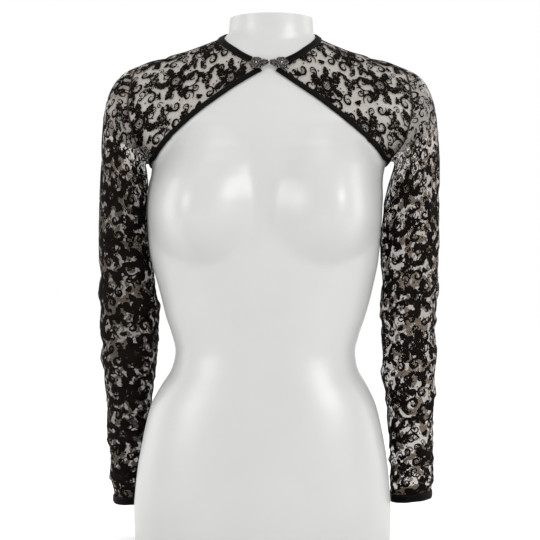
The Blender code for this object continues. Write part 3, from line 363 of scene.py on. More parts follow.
CREASES_LEFT = (
    (5.4, 100.0, 45.0, -0.0016, 0.0080, 0.016),
    (6.2, 40.0, 45.0, 0.0014, 0.0070, -0.014),
    (6.5, 150.0, 50.0, -0.0018, 0.0075, 0.018),
    (7.3, 20.0, 45.0, -0.0018, 0.0070, 0.016),
    (7.8, 120.0, 55.0, 0.0018, 0.0070, -0.014),
    (8.0, 330.0, 50.0, 0.0020, 0.0065, 0.012),
    (8.5, 90.0, 55.0, -0.0020, 0.0065, 0.014),
    (9.0, 40.0, 45.0, 0.0018, 0.0060, -0.012),
    (9.1, 200.0, 55.0, -0.0020, 0.0060, 0.008),
    (9.6, 70.0, 55.0, -0.0024, 0.0055, 0.010),
    (9.9, 160.0, 50.0, 0.0022, 0.0055, -0.010),
    (10.1, 0.0, 50.0, 0.0024, 0.0050, 0.008),
    (10.6, 120.0, 55.0, -0.0024, 0.0052, -0.010),
    (10.8, 320.0, 50.0, -0.0024, 0.0050, 0.006),
    (11.1, 60.0, 50.0, 0.0022, 0.0050, 0.010),
    (11.2, 170.0, 45.0, 0.0020, 0.0050, 0.008),
    (11.6, 100.0, 60.0, -0.0024, 0.0048, -0.008),
    (11.9, 345.0, 45.0, -0.0024, 0.0048, 0.006),
    (12.1, 50.0, 50.0, 0.0024, 0.0046, 0.008),
    (12.5, 150.0, 55.0, 0.0022, 0.0048, -0.006),
    (12.6, 10.0, 50.0, -0.0022, 0.0045, 0.006),
    (12.9, 100.0, 45.0, -0.0024, 0.0045, 0.008),
    (13.4, 40.0, 55.0, 0.0022, 0.0045, -0.006),
    (13.5, 180.0, 55.0, 0.0020, 0.0048, 0.006),
    (13.9, 90.0, 50.0, -0.0020, 0.0042, 0.006),
    (14.1, 340.0, 50.0, -0.0018, 0.0045, 0.004),
    (14.6, 60.0, 60.0, 0.0014, 0.0040, 0.004),
)

# The throat clasp's rosettes.
CLASP_SHIFT = 0.0013
ROSETTE_X = 0.0150
ROSETTE_Z = 0.5955
ROSETTE_RADIUS = 0.0082
ROSETTE_SCALLOP = 0.13
SCALLOP_MIDDLE = 0.6
ROSETTE_HEIGHT = 0.0034
ROSETTE_PETALS = 6
ROSETTE_SIDES = 144
ROSETTE_RINGS = 40
# In shares of the rosette's radius: its dome, a petal's middle, half length and half width, and the
# smallest ring. In shares of its height: its lowest hollow and its outer edge.
DOME_RADIUS = 0.25
PETAL_MIDDLE = 0.63
PETAL_HALF_LENGTH = 0.35
PETAL_HALF_WIDTH = 0.27
SMALLEST_RING = 0.02
LOWEST_HOLLOW = 0.05
OUTER_EDGE = 0.18
# The lobe between each rosette and the eye: where it leaves the rosette, as a share of its radius, its
# tip's distance from the middle, its half widths at the rosette and at its tip, its scallops' depth
# and number, its relief's height, its back's thickness, how far it lies before the hook, and how much
# of its relief is rubbed bright.
LOBE_ROOT = 0.86
LOBE_TIP = 0.0013
LOBE_BASE = 0.0048
LOBE_END = 0.0024
LOBE_SCALLOP = 0.10
LOBE_SCALLOPS = 4
LOBE_HEIGHT = 0.0016
LOBE_THICKNESS = 0.0004
LOBE_LIFT = 0.0006
LOBE_TONE = 0.7
LOBE_STEPS = 36

# The net: its paler and darker tones, its dark tone where it hangs gathered, which is painted shade
# among the crumpled layers, how much of the light its holes, its threads and its gathers cover, and
# its threads' scale.
NET_SHADES = ((0.290, 0.234, 0.188), (0.235, 0.186, 0.146))
NET_GATHERED_SHADE = (0.075, 0.060, 0.047)
NET_HOLES = 0.20
NET_THREADS = 0.37
NET_LAYERED = 0.28
NET_THREADS_SCALE = 210.0
# The stations over which a sleeve's net passes from open to gathered, and how gathered it gets. How
# gathered it gets also sets how deep the painted shade in its tone is: deeper on the right sleeve,
# which lies more in shade.
GATHER_START = 4.0
GATHER_LENGTH = 3.0
GATHERED_AND_SHADE = {"right": 1.0, "left": 0.45}

# The other materials' two tones each, as linear red, green and blue.
SHELL_TONES = ((0.366, 0.366, 0.360), (0.386, 0.386, 0.379))
FLOCK_TONES = ((0.0022, 0.0016, 0.0012), (0.0060, 0.0045, 0.0036))
RIBBON_TONES = ((0.0014, 0.0012, 0.0011), (0.0036, 0.0030, 0.0026))
SEAM_TONES = ((0.012, 0.010, 0.008), (0.035, 0.028, 0.022))
THREAD_TONES = ((0.006, 0.005, 0.005), (0.016, 0.014, 0.013))
SILVER_TONES = ((0.008, 0.007, 0.006), (0.46, 0.44, 0.41))
# The range that smooth noise mostly keeps to, and how evenly the plain wires are rubbed bright.
NOISE_RANGE = (0.3, 0.7)
DARK_WIRE = 0.34
BRIGHT_WIRE = 0.78

# Each cut's width, length and area, flat, in metres and square metres.
CUTS = {
    "front": (0.173, 0.163, 0.0159),
    "back": (0.359, 0.207, 0.0640),
    "sleeve": (0.349, 0.560, 0.1305),
}

# Where each piece lies on the patterned cloth, in metres, its turn on it in degrees, how far its
# pile has spread over the pattern's outline where it hangs open and where it hangs gathered, in
# millimetres, and how closely the outline is followed down it, in metres.
PATTERN_PLACES = {
    "front_right": ((0.118, 0.030), 14.0, (0.04, 0.04), 0.0008),
    "front_left": ((0.155, 0.085), -17.0, (0.04, 0.04), 0.0008),
    "back": ((0.010, 0.060), 8.0, (0.04, 0.04), 0.0008),
    "sleeve_right": ((0.047, 0.012), -27.0, (0.02, 0.30), 0.0013),
    "sleeve_left": ((0.098, 0.051), 31.0, (-0.20, 0.14), 0.0013),
}

# The camera, the floor's half width, and each light's place, size and power.
CAMERA_PLACE = (0.0025, -1.987, 0.3475)
CAMERA_LENS = 106.7
SENSOR_WIDTH = 36.0
FLOOR_REACH = 9.0
LIGHT_AIM = (0.0, 0.0, 0.35)
LIGHTS = (
    ("key_light", (1.9, -1.5, 1.1), (0.9, 0.9), 34.0),
    ("fill_light", (-1.9, -1.3, 0.9), (0.9, 0.9), 22.0),
    ("top_light", (0.0, -0.2, 2.2), (1.0, 0.8), 8.0),
    ("right_side_light", (-1.9, 0.7, 0.8), (1.0, 1.4), 9.0),
    ("left_side_light", (1.9, 0.7, 0.8), (1.0, 1.4), 9.0),
)

# The cloth's pattern, in millimetres before it is scaled: one repeat, with every second column
# turned over and dropped by half a repeat. No motif reaches further than this from its middle.
PATTERN_SCALE = 0.80
REPEAT_WIDTH = 92.0
REPEAT_HEIGHT = 112.0
MOTIF_REACH = 26.0
FAR_OUTSIDE = -9.0
# Within the motifs: how far apart a leaf's veins lie, a scroll's thinnest half width, and its row of
# dots' spacing and radius.
VEIN_SPACING = 3.8
SCROLL_THINNEST = 0.55
BEAD_SPACING = 2.6
BEAD_RADIUS = 0.72
# Flowers: across, up, radius, turn in degrees, petals.
FLOWERS = (
    (24.0, 30.0, 17.0, 12.0, 6),
    (68.0, 84.0, 15.5, 40.0, 6),
    (76.0, 30.0, 9.0, 80.0, 5),
    (14.0, 88.0, 8.5, 300.0, 5),
    (47.0, 58.0, 6.5, 20.0, 5),
)
# Leaves round a flower: the flower's number, how far out their stalks begin as a share of its
# radius, length, half width, bend, and their directions in degrees.
GARLANDS = (
    (0, 0.80, 17.0, 5.6, 0.28, (12.0, 68.0, 128.0, 196.0, 250.0, 305.0)),
    (1, 0.80, 15.0, 5.0, -0.28, (25.0, 80.0, 150.0, 205.0, 268.0, 330.0)),
    (2, 0.75, 11.0, 3.8, 0.28, (60.0, 150.0, 285.0)),
    (3, 0.75, 11.0, 3.8, -0.28, (100.0, 215.0, 340.0)),
    (4, 0.75, 9.0, 3.2, 0.25, (110.0, 290.0)),
)
# Scrolls: across and up of the spiral's eye, outer radius, first angle and sweep in degrees,
# tightness, half width at their thickest, and 1 where a row of dots follows the inner side.
SCROLLS = (
    (52.0, 34.0, 14.0, 250.0, 420.0, 0.19, 2.1, 1),
    (40.0, 84.0, 13.0, 70.0, -420.0, 0.19, 2.0, 1),
    (12.0, 62.0, 11.5, 20.0, 420.0, 0.19, 1.8, 1),
    (78.0, 56.0, 12.0, 200.0, -420.0, 0.19, 1.9, 1),
    (50.0, 8.0, 10.5, 330.0, 420.0, 0.19, 1.7, 1),
    (86.0, 8.0, 9.5, 120.0, -420.0, 0.19, 1.6, 1),
    (34.0, 106.0, 9.0, 160.0, 420.0, 0.19, 1.5, 1),
    (57.0, 70.0, 8.0, 200.0, 420.0, 0.19, 1.4, 1),
    (88.0, 98.0, 8.0, 300.0, -420.0, 0.19, 1.4, 1),
    (62.0, 18.0, 9.0, 60.0, 420.0, 0.19, 0.85, 0),
    (30.0, 70.0, 9.0, 300.0, -420.0, 0.19, 0.85, 0),
    (84.0, 70.0, 8.5, 160.0, 420.0, 0.19, 0.80, 0),
    (6.0, 40.0, 8.5, 20.0, -420.0, 0.19, 0.80, 0),
    (50.0, 104.0, 9.0, 230.0, 420.0, 0.19, 0.85, 0),
    (18.0, 98.0, 8.0, 100.0, -420.0, 0.19, 0.80, 0),
    (44.0, 56.0, 8.0, 340.0, 420.0, 0.19, 0.80, 0),
    (30.0, 62.0, 6.5, 250.0, 430.0, 0.22, 0.65, 0),
    (62.0, 62.0, 6.0, 30.0, -430.0, 0.22, 0.65, 0),
    (60.0, 20.0, 5.5, 90.0, 430.0, 0.22, 0.62, 0),
    (3.0, 46.0, 6.0, 300.0, -430.0, 0.22, 0.65, 0),
    (26.0, 76.0, 5.0, 200.0, 430.0, 0.22, 0.60, 0),
    (52.0, 100.0, 6.0, 120.0, -430.0, 0.22, 0.65, 0),
    (6.0, 106.0, 6.0, 20.0, 430.0, 0.22, 0.62, 0),
    (68.0, 45.0, 4.5, 150.0, -430.0, 0.22, 0.60, 0),
    (44.0, 70.0, 4.5, 320.0, 430.0, 0.22, 0.60, 0),
    (88.0, 70.0, 4.5, 60.0, 430.0, 0.22, 0.60, 0),
    (2.0, 22.0, 4.5, 240.0, 430.0, 0.22, 0.60, 0),
    (40.0, 48.0, 4.5, 20.0, 430.0, 0.22, 0.60, 0),
    (22.0, 6.0, 5.0, 60.0, -430.0, 0.22, 0.60, 0),
    (70.0, 64.0, 4.0, 250.0, 430.0, 0.22, 0.60, 0),
    (20.0, 104.0, 4.5, 180.0, -430.0, 0.22, 0.60, 0),
    (46.0, 20.0, 4.0, 130.0, 430.0, 0.22, 0.60, 0),
    (84.0, 84.0, 4.0, 90.0, -430.0, 0.22, 0.60, 0),
    (8.0, 78.0, 4.5, 330.0, 430.0, 0.22, 0.60, 0),
)
# Sprays of narrow drops: across, up, length, direction and fan in degrees, number of drops.
SPRAYS = (
    (42.0, 20.0, 9.0, 300.0, 130.0, 5),
    (60.0, 50.0, 9.5, 20.0, 140.0, 5),
    (20.0, 72.0, 9.0, 130.0, 130.0, 5),
    (86.0, 92.0, 9.0, 10.0, 140.0, 5),
    (50.0, 92.0, 9.0, 250.0, 140.0, 5),
    (88.0, 42.0, 8.0, 60.0, 140.0, 5),
    (4.0, 8.0, 8.0, 200.0, 150.0, 5),
    (36.0, 48.0, 8.0, 60.0, 130.0, 5),
    (70.0, 8.0, 8.0, 260.0, 140.0, 5),
    (24.0, 98.0, 8.0, 80.0, 130.0, 5),
)
# Dots: across, up, radius.
DOTS = (
    (45.0, 44.0, 1.3), (68.0, 38.0, 1.3), (32.0, 54.0, 1.2), (20.0, 56.0, 1.2), (28.0, 88.0, 1.3),
    (60.0, 104.0, 1.3), (90.0, 80.0, 1.2), (2.0, 34.0, 1.2), (60.0, 28.0, 1.2), (90.0, 20.0, 1.2),
    (14.0, 2.0, 1.2), (54.0, 72.0, 1.2), (80.0, 106.0, 1.2), (4.0, 76.0, 1.2), (38.0, 2.0, 1.2),
)


def read_table(rows, column, at):
    """A smooth curve through one column, which never overshoots, read at values of the first."""
    table = np.asarray(rows, float)
    x, y = table[:, 0], table[:, column]
    step = np.diff(x)
    rise = np.diff(y) / step
    slope = np.zeros(len(x))
    slope[0], slope[-1] = rise[0], rise[-1]
    both = rise[:-1] * rise[1:]
    same = both > 0
    mean = np.zeros(len(both))
    mean[same] = 2.0 * both[same] / (rise[:-1] + rise[1:])[same]
    slope[1:-1] = mean
    at = np.clip(np.asarray(at, float), x[0], x[-1])
    k = np.clip(np.searchsorted(x, at) - 1, 0, len(x) - 2)
    t = (at - x[k]) / step[k]
    value = y[k] * (1 + 2 * t) * (1 - t) ** 2 + y[k + 1] * t * t * (3 - 2 * t)
    return value + step[k] * (slope[k] * t * (1 - t) ** 2 - slope[k + 1] * t * t * (1 - t))


def signed_power(value, power):
    return np.sign(value) * np.abs(value) ** power


def smooth_step(value):
    value = np.clip(value, 0.0, 1.0)
    return value * value * (3 - 2 * value)


def even_points(points, count):
    """Points at even steps along a line of points."""
    points = np.asarray(points, float)
    run = np.concatenate(([0.0], np.cumsum(np.linalg.norm(np.diff(points, axis=0), axis=1))))
    at = np.linspace(0.0, run[-1], count)
    return np.stack([np.interp(at, run, points[:, axis]) for axis in range(points.shape[1])], axis=1)


def grid_faces(rows, columns, closed):
    """Quads of a grid of points, which may close on itself from the last column to the first."""
    faces = []
    for row in range(rows - 1):
        for column in range(columns if closed else columns - 1):
            after = (column + 1) % columns
            here, below = row * columns, (row + 1) * columns
            faces.append((here + column, here + after, below + after, below + column))
    return faces


def tube_faces(count, around):
    """Quads round a tube of this many rings, closed by a flat cap at each end."""
    faces = grid_faces(count, around, True)
    faces.append(tuple(reversed(range(around))))
    faces.append(tuple((count - 1) * around + i for i in range(around)))
    return faces


def mesh_volume(points, faces):
    total = 0.0
    for face in faces:
        a = points[face[0]]
        for i in range(1, len(face) - 1):
            total += float(np.dot(a, np.cross(points[face[i]], points[face[i + 1]])))
    return total / 6


def closed_faces(points, faces):
    """The faces of a closed mesh, turned if need be to look outwards."""
    return faces if mesh_volume(points, faces) >= 0 else [tuple(reversed(face)) for face in faces]


def ridge(off, half_width):
    """The height of a rounded ridge, 1 at its crest, at a distance off it."""
    return np.exp(-((off / half_width) ** 2))


def form_section(height, angle):
    """Points of the form's surface. Both arguments may be arrays; angle 0 is +X, a quarter turn +Y."""
    section = {name: read_table(FORM_SECTIONS, i, height) for i, name in enumerate(FORM_COLUMNS) if i}
    across, along = np.cos(angle), np.sin(angle)
    power = 2.0 / section["power"]
    x = section["half_width"] * signed_power(across, power)
    front, back, middle = section["front"], section["back"], section["middle"]
    y = middle + np.where(along < 0, middle - front, back - middle) * signed_power(along, power)
    reach = np.where(height > BUST_HEIGHT, BUST_REACH_UP, BUST_REACH_DOWN)
    for side in (-1, 1):
        off = ((x - side * BUST_SPACING) / BUST_HALF_WIDTH) ** 2 + ((height - BUST_HEIGHT) / reach) ** 2
        mound = np.where(along < 0, np.clip(1 - off, 0, 1) ** 1.5, 0.0) * BUST_DEPTH
        x = x + side * BUST_OUTWARD * mound * np.clip(side * x / BUST_SPACING, 0, 1)
        y = y - mound
    depth = np.clip(np.abs(y - YOKE_AXIS_Y) / np.maximum(section["stub"], 1e-6), 0, 1)
    beyond = np.clip(section["reach"] ** STUB_JOIN - section["half_width"] ** STUB_JOIN, 0, None)
    stub = beyond * (1 - depth**STUB_POWER) ** (STUB_JOIN / STUB_POWER)
    x = np.sign(x) * (np.abs(x) ** STUB_JOIN + stub) ** (1 / STUB_JOIN)
    return np.stack(np.broadcast_arrays(x + section["shift"], y, height), axis=-1)


def form_mesh(heights, sides):
    """The form's rings at these heights as points and faces, closed by a flat cap at each end."""
    angle = np.arange(sides) * 2 * math.pi / sides
    rings = form_section(np.asarray(heights)[:, None], angle[None, :])
    return rings.reshape(-1, 3), tube_faces(len(heights), sides)


class FormSurface:
    """The form's surface, finely sampled, to lay cloth on. Each row it gives is a point that lies a
    gap outside the form, and the surface's outward normal there."""

    def __init__(self):
        heights = np.array([row[0] for row in FORM_SECTIONS])
        fine = [np.linspace(a, b, SURFACE_RINGS) for a, b in zip(heights, heights[1:])]
        fine = np.unique(np.concatenate(fine))
        points, faces = form_mesh(fine, SURFACE_SIDES)
        self.tree = BVHTree.FromPolygons([tuple(p) for p in points], faces)

    def cast(self, origin, direction, gap=CLOTH_CLEARANCE):
        hit, normal, _, _ = self.tree.ray_cast(Vector(origin), Vector(direction))
        return np.array([*(hit + normal * gap), *normal])

    def nearest(self, point, gap=CLOTH_CLEARANCE):
        hit, normal, _, _ = self.tree.find_nearest(Vector(point))
        return np.array([*(hit + normal * gap), *normal])


def yoke_axis(x):
    low = smooth_step((abs(x) - YOKE_AXIS_LEVEL_X) / (YOKE_AXIS_LOW_X - YOKE_AXIS_LEVEL_X))
    return YOKE_AXIS_NECK_Z + (YOKE_AXIS_SHOULDER_Z - YOKE_AXIS_NECK_Z) * float(low)


def yoke_point(form, x, turn):
    """The cloth's point and normal at this x and this turn, in radians, about the yoke's line."""
    direction = (0.0, -math.sin(turn), math.cos(turn))
    return form.cast((x, YOKE_AXIS_Y, yoke_axis(x)), direction)


def yoke_place(point, facing):
    """The x and the turn of a point of the yoke, on the front (facing 1) or the back (facing -1)."""
    x, y, z = point[:3]
    turn = math.atan2(YOKE_AXIS_Y - y, z - yoke_axis(x))
    if turn * facing < -math.pi / 2:
        turn += facing * 2 * math.pi
    return x, turn


def point_at_height(form, x, height, facing):
    return form.cast((x, YOKE_AXIS_Y, height), (0.0, -facing, 0.0))


def walk(form, row, tangent, width, away_from):
    """A place on the form, reached in short steps across a line's tangent and away from a point."""
    row = form.nearest(row[:3], 0.0)
    for _ in range(WALK_STEPS):
        across = Vector(row[3:]).cross(Vector(tangent)).normalized()
        if across.dot(Vector(row[:3]) - Vector(away_from)) < 0:
            across = -across
        row = form.nearest(Vector(row[:3]) + across * (width / WALK_STEPS), 0.0)
    return form.nearest(row[:3])


def move_on_form(form, line, width, away_from):
    """The line moved across itself over the form's surface, away from a point."""
    tangents = np.gradient(line[:, :3], axis=0)
    moved = [walk(form, row, tangent, width, away_from) for row, tangent in zip(line, tangents)]
    return np.array(moved)


def resample(form, line, count):
    places = np.array(line)[:, :3]
    return np.array([form.nearest(p) for p in even_points(places, count)])


# The jacket's edges and seams, each as rows of a point and its outward normal.


def neck_line(form, side, facing, beyond):
    """A line round half of the neck: the band's upper edge, moved down over the form by `beyond`.
    In front it runs from the throat to the shoulder, behind from the shoulder to the centre back."""
    front = np.linspace(NECK_BAND_START, NECK_SHOULDER_ANGLE, ARMHOLE_STEPS + 2)
    back = np.linspace(NECK_SHOULDER_ANGLE, 90.0, NECK_BACK_STEPS + 1)
    gap = CLOTH_CLEARANCE if beyond else NECK_BAND_CLEARANCE
    line = []
    for angle in np.concatenate([front, back[1:]]):
        height = float(read_table(NECK_EDGE, 1, angle))
        turn = math.radians(angle)
        direction = (side * math.cos(turn), math.sin(turn), 0.0)
        line.append(form.cast((NECK_AXIS_X, NECK_AXIS_Y, height), direction, gap))
    line = np.array(line)
    if beyond:
        line = move_on_form(form, line, beyond, (NECK_AXIS_X, NECK_AXIS_Y, NECK_AXIS_TOP))
    return line[: len(front)] if facing > 0 else line[len(front) - 1 :]


def beside_seam(form, point, seam_y, facing):
    """A point on the shoulder's or the side's seam, moved half the seam's gap forwards or back."""
    place = np.array((point[0], seam_y - facing * SEAM_GAP / 2, point[2]))
    return form.nearest(place)


def panel_neck(form, side, facing):
    """A panel's edge beside the neck band."""
    line = neck_line(form, side, facing, NECK_BAND_WIDTH + SEAM_GAP)
    corner, neighbour = (-1, -2) if facing > 0 else (0, 1)
    step = line[neighbour, :3] - line[corner, :3]
    line[corner] = form.nearest(line[corner, :3] + step * (SEAM_GAP / 2 / np.linalg.norm(step)))
    return line


def shoulder_seam(form, side, facing, neck, steps):
    """One edge of the shoulder seam, from its corner at the neck to the armhole."""
    line = [neck]
    start_y = neck[1] + facing * SEAM_GAP / 2
    end_x = armhole_x(side, 0.0, -SEAM_GAP / 2)
    for share in np.linspace(0.0, 1.0, steps + 1)[1:]:
        x = neck[0] + share * (end_x - neck[0])
        seam_y = start_y + share * (YOKE_AXIS_Y - start_y)
        line.append(beside_seam(form, yoke_point(form, x, 0.0), seam_y, facing))
    return np.array(line)


def armhole_x(side, turn, outward):
    """The armhole's x at a turn in degrees, moved outwards on its own side."""
    return side * (float(read_table(ARMHOLE, 1, turn)) + outward) + ARMHOLE_SHIFT


def armhole_seam(form, side, facing, outward):
    """The armhole on the front or the back, from shoulder to underarm; outward shifts it along X."""
    middle = []
    for turn in np.linspace(0.0, 180.0, ARMHOLE_TURNS):
        x = armhole_x(side, turn if facing > 0 else 360.0 - turn, 0.0)
        middle.append(yoke_point(form, x, facing * math.radians(turn)))
    middle = resample(form, middle, ARMHOLE_STEPS + 1)
    beside = [form.nearest(p[:3] + (side * outward, 0.0, 0.0)) for p in middle]
    return np.array(beside)


def lower_edge(form, table, side, facing, steps):
    """The jacket's lower edge on one side, from the middle to below the underarm."""
    line = []
    for x in np.linspace(table[0][0], table[-1][0], EDGE_STEPS):
        height, shift = (float(read_table(table, column, x)) for column in (1, 2))
        line.append(point_at_height(form, side * x + shift, height, facing))
    underarm = yoke_point(form, armhole_x(side, 180.0, -SEAM_GAP / 2), math.pi)
    below = walk(form, underarm, (0.0, 1.0, 0.0), HEM_BAND_WIDTH + SEAM_GAP, (0.0, 0.0, NECK_AXIS_TOP))
    line.append(beside_seam(form, below, YOKE_AXIS_Y, facing))
    line = resample(form, line, 4 * steps + 1)
    return resample(form, line, steps + 1)


def above_edge(form, edge, height, facing):
    """The lower edge moved up over the form by this height; its last corner stays at the side seam."""
    below = (0.0, YOKE_AXIS_Y, BELOW_JACKET_Z)
    line = move_on_form(form, edge, height, below)
    corner = walk(form, edge[-1], (0.0, 1.0, 0.0), height, below)
    line[-1] = beside_seam(form, corner, YOKE_AXIS_Y, facing)
    return line


def patch(form, top, bottom, start, end, facing):
    """A panel between four edges, filled in by place and turn about the yoke's line."""
    edges = (top, bottom, start, end)
    top, bottom, start, end = (np.array([yoke_place(p, facing) for p in edge]) for edge in edges)
    v = np.linspace(0.0, 1.0, len(start))[:, None, None]
    u = np.linspace(0.0, 1.0, len(top))[None, :, None]
    place = (1 - v) * top[None] + v * bottom[None] + (1 - u) * start[:, None] + u * end[:, None]
    place = place - (1 - u) * ((1 - v) * top[0] + v * bottom[0])
    place = place - u * ((1 - v) * top[-1] + v * bottom[-1])
    grid = [[yoke_point(form, x, turn) for x, turn in row] for row in place]
    grid = np.array(grid)
    grid[0], grid[-1], grid[:, 0], grid[:, -1] = edges
    return grid


def sleeve_axes(table, station):
    """A ring's middle, its half width towards the outside of the arm, and its half depth forwards."""
    rows = [(i, *row) for i, row in enumerate(table)]
    ring = {name: read_table(rows, i + 1, station) for i, name in enumerate(SLEEVE_COLUMNS)}
    outer = np.stack([ring["outer_x"], ring["middle_y"], ring["outer_z"]], axis=-1)
    inner = np.stack([ring["inner_x"], ring["middle_y"], ring["inner_z"]], axis=-1)
    forward = np.stack([0 * ring["half_depth"], -ring["half_depth"], 0 * ring["half_depth"]], axis=-1)
    return (outer + inner) / 2, (outer - inner) / 2, forward


def sleeve_armhole(form, side):
    """The sleeve's first ring, with its normals: shoulder, front, underarm, back."""
    front = armhole_seam(form, side, 1, SEAM_GAP / 2)
    back = armhole_seam(form, side, -1, SEAM_GAP / 2)
    return np.vstack([front, back[-2:0:-1]])


def fold_height(folds, station, run, angle):
    """How far the folds move the cloth outwards, at a station, its length down the sleeve and angle."""
    stations = station[:, 0]
    total = np.zeros(np.broadcast_shapes(run.shape, angle.shape))
    for fold in folds:
        fold = dict(zip(FOLD_COLUMNS, fold))
        turn = (angle - math.radians(fold["angle"]) + math.pi) % (2 * math.pi) - math.pi
        middle = np.interp(fold["station"], stations, run[:, 0]) + fold["slant"] * turn
        fade = np.cos(np.clip(turn / math.radians(fold["spread"]), -1, 1) * math.pi / 2) ** 2
        total += fold["height"] * fade * ridge(run - middle, fold["half_width"])
    return total


def outward_normals(grid):
    """Normals of a grid that is closed from its last column to its first, pointing out of the tube."""
    around = np.roll(grid, -1, axis=1) - np.roll(grid, 1, axis=1)
    along = np.gradient(grid, axis=0)
    normal = np.cross(around, along)
    normal /= np.linalg.norm(normal, axis=-1, keepdims=True)
    out = grid - grid.mean(axis=1, keepdims=True)
    return normal * np.sign((normal * out).sum())


def clear_of_form(form, grid, normals):
    """The grid with each point moved out that is too near to the form. Where the tube's outside faces
    the form, its wall lies between them and needs its thickness too."""
    moved = grid.copy()
    for row, column in np.ndindex(grid.shape[:2]):
        place, normal = grid[row, column], normals[row, column]
        near = form.nearest(place, 0.0)
        clearance = CLOTH_CLEARANCE + CLOTH_THICKNESS * max(0.0, -float(np.dot(normal, near[3:])))
        if np.dot(place - near[:3], near[3:]) < clearance:
            moved[row, column] = near[:3] + near[3:] * clearance
    return moved


# The pattern.


def polar(x, y):
    return np.hypot(x, y), np.arctan2(y, x)


def flower_print(x, y, radius, turn, petals):
    """Ruffled black petals, parted by hair lines of bare net, round a pale swirled middle."""
    far, angle = polar(x, y)
    angle = angle - math.radians(turn)
    lobe = np.abs(np.cos(petals * angle / 2))
    inside = radius * (0.76 + 0.24 * lobe**0.5) + 0.5 * np.cos(petals * 5 * angle) - far
    inner = radius * (0.56 + 0.12 * np.abs(np.sin(petals * angle / 2)) ** 0.6)
    fold = np.abs(far - inner) - 0.50 * np.clip(1.6 * np.abs(np.sin(petals * angle / 2)) - 0.3, 0, 1)
    spoke = np.abs(np.sin(petals * angle / 2 + math.pi / 2)) * far * 2 / petals - 0.42
    spoke = np.where((far > inner) & (far < radius * 0.92), spoke, 1.0)
    petal = np.minimum(inside, np.minimum(fold, spoke))
    heart = radius * (0.40 + 0.03 * np.cos(5 * angle))
    pitch = radius * 0.135
    swirl = (far / pitch - angle / (2 * math.pi) + 0.12 * np.cos(5 * angle)) % 1.0
    line = pitch * (0.20 - np.abs(swirl - 0.5))
    return np.where(far < heart, np.maximum(line, 0.07 * radius - far), petal)


def leaf_print(x, y, length, half_width, direction, bend):
    """A lobed leaf on a bent axis, with a bare midrib and side veins."""
    turn = math.radians(direction)
    along = x * math.cos(turn) + y * math.sin(turn)
    across = y * math.cos(turn) - x * math.sin(turn)
    share = along / length
    across = across - bend * length * share * (1 - share)
    reach = half_width * np.clip(np.sin(math.pi * np.clip(share, 0, 1) ** 0.8), 0, 1) ** 0.7
    lobes = 0.80 + 0.28 * np.abs(np.sin(share * math.pi * round(length / VEIN_SPACING)))
    inside = np.minimum(reach * lobes - np.abs(across), np.minimum(along, length - along))
    rib = np.abs(across) - 0.48 * np.clip(1.2 - share * 1.3, 0, 1)
    vein = (along - np.abs(across) * 1.1 + 50.0) % VEIN_SPACING
    vein = np.abs(vein - VEIN_SPACING / 2) - 0.46
    vein = np.where((np.abs(across) > 1.0) & (np.abs(across) < reach * 0.68), vein, 1.0)
    return np.minimum(inside, np.minimum(rib, vein))


def scroll_print(x, y, radius, start, sweep, tightness, half_width, dotted):
    """A spiral stroke, thickest at its middle, with a ball at its inner end."""
    far, angle = polar(x, y)
    way = math.copysign(1.0, sweep)
    total = math.radians(abs(sweep))
    travelled = (way * (angle - math.radians(start))) % (2 * math.pi)
    end = math.radians(start) + way * total
    eye = radius * math.exp(-tightness * total)
    ball = max(1.1, half_width * 0.62)
    best = ball - np.hypot(x - eye * math.cos(end), y - eye * math.sin(end))
    for lap in range(int(total / (2 * math.pi)) + 1):
        run = travelled + 2 * math.pi * lap
        centre = radius * np.exp(-tightness * run)
        share = np.clip(run / total, 0, 1)
        width = np.sin(math.pi * share**0.8) ** 1.5
        width = SCROLL_THINNEST + (half_width - SCROLL_THINNEST) * width
        if dotted:
            outwards = (far > centre) & (width > 1.0)
            width = np.where(outwards, width * (0.82 + 0.30 * np.abs(np.sin(run * 3.5))), width)
            bead = (run * centre / BEAD_SPACING) % 1.0 - 0.5
            bead = BEAD_RADIUS - np.hypot(far - centre + width + 1.5, bead * BEAD_SPACING)
            best = np.maximum(best, np.where((share > 0.12) & (share < 0.62), bead, -1.0))
        stroke = np.where(run <= total, width - np.abs(far - centre), -1.0)
        best = np.maximum(best, stroke)
    return best


def spray_print(x, y, length, direction, fan, drops):
    """Narrow drops that fan out from one point."""
    far, angle = polar(x, y)
    step = math.radians(fan) / (drops - 1)
    turn = (angle - math.radians(direction) + math.pi) % (2 * math.pi) - math.pi
    sector = np.clip(np.round(turn / step), -(drops // 2), drops // 2)
    off = turn - sector * step
    along = far * np.cos(off)
    reach = length * (1 - 0.10 * np.abs(sector))
    share = np.clip(along / reach, 0, 1)
    width = 1.15 * np.sin(math.pi * share**1.6) ** 0.8 + 0.12
    return np.where((along > 0) & (along < reach), width - np.abs(far * np.sin(off)), -1.0)


def dot_print(x, y, radius):
    return radius - np.hypot(x, y)


def garland_leaves():
    """The leaves round the flowers, as rows of across, up, length, half width, direction and bend."""
    rows = []
    for flower, out, length, half_width, bend, directions in GARLANDS:
        across, up, radius = FLOWERS[flower][:3]
        for direction in directions:
            turn = math.radians(direction)
            stalk = (across + out * radius * math.cos(turn), up + out * radius * math.sin(turn))
            rows.append((*stalk, length, half_width, direction, bend))
    return rows


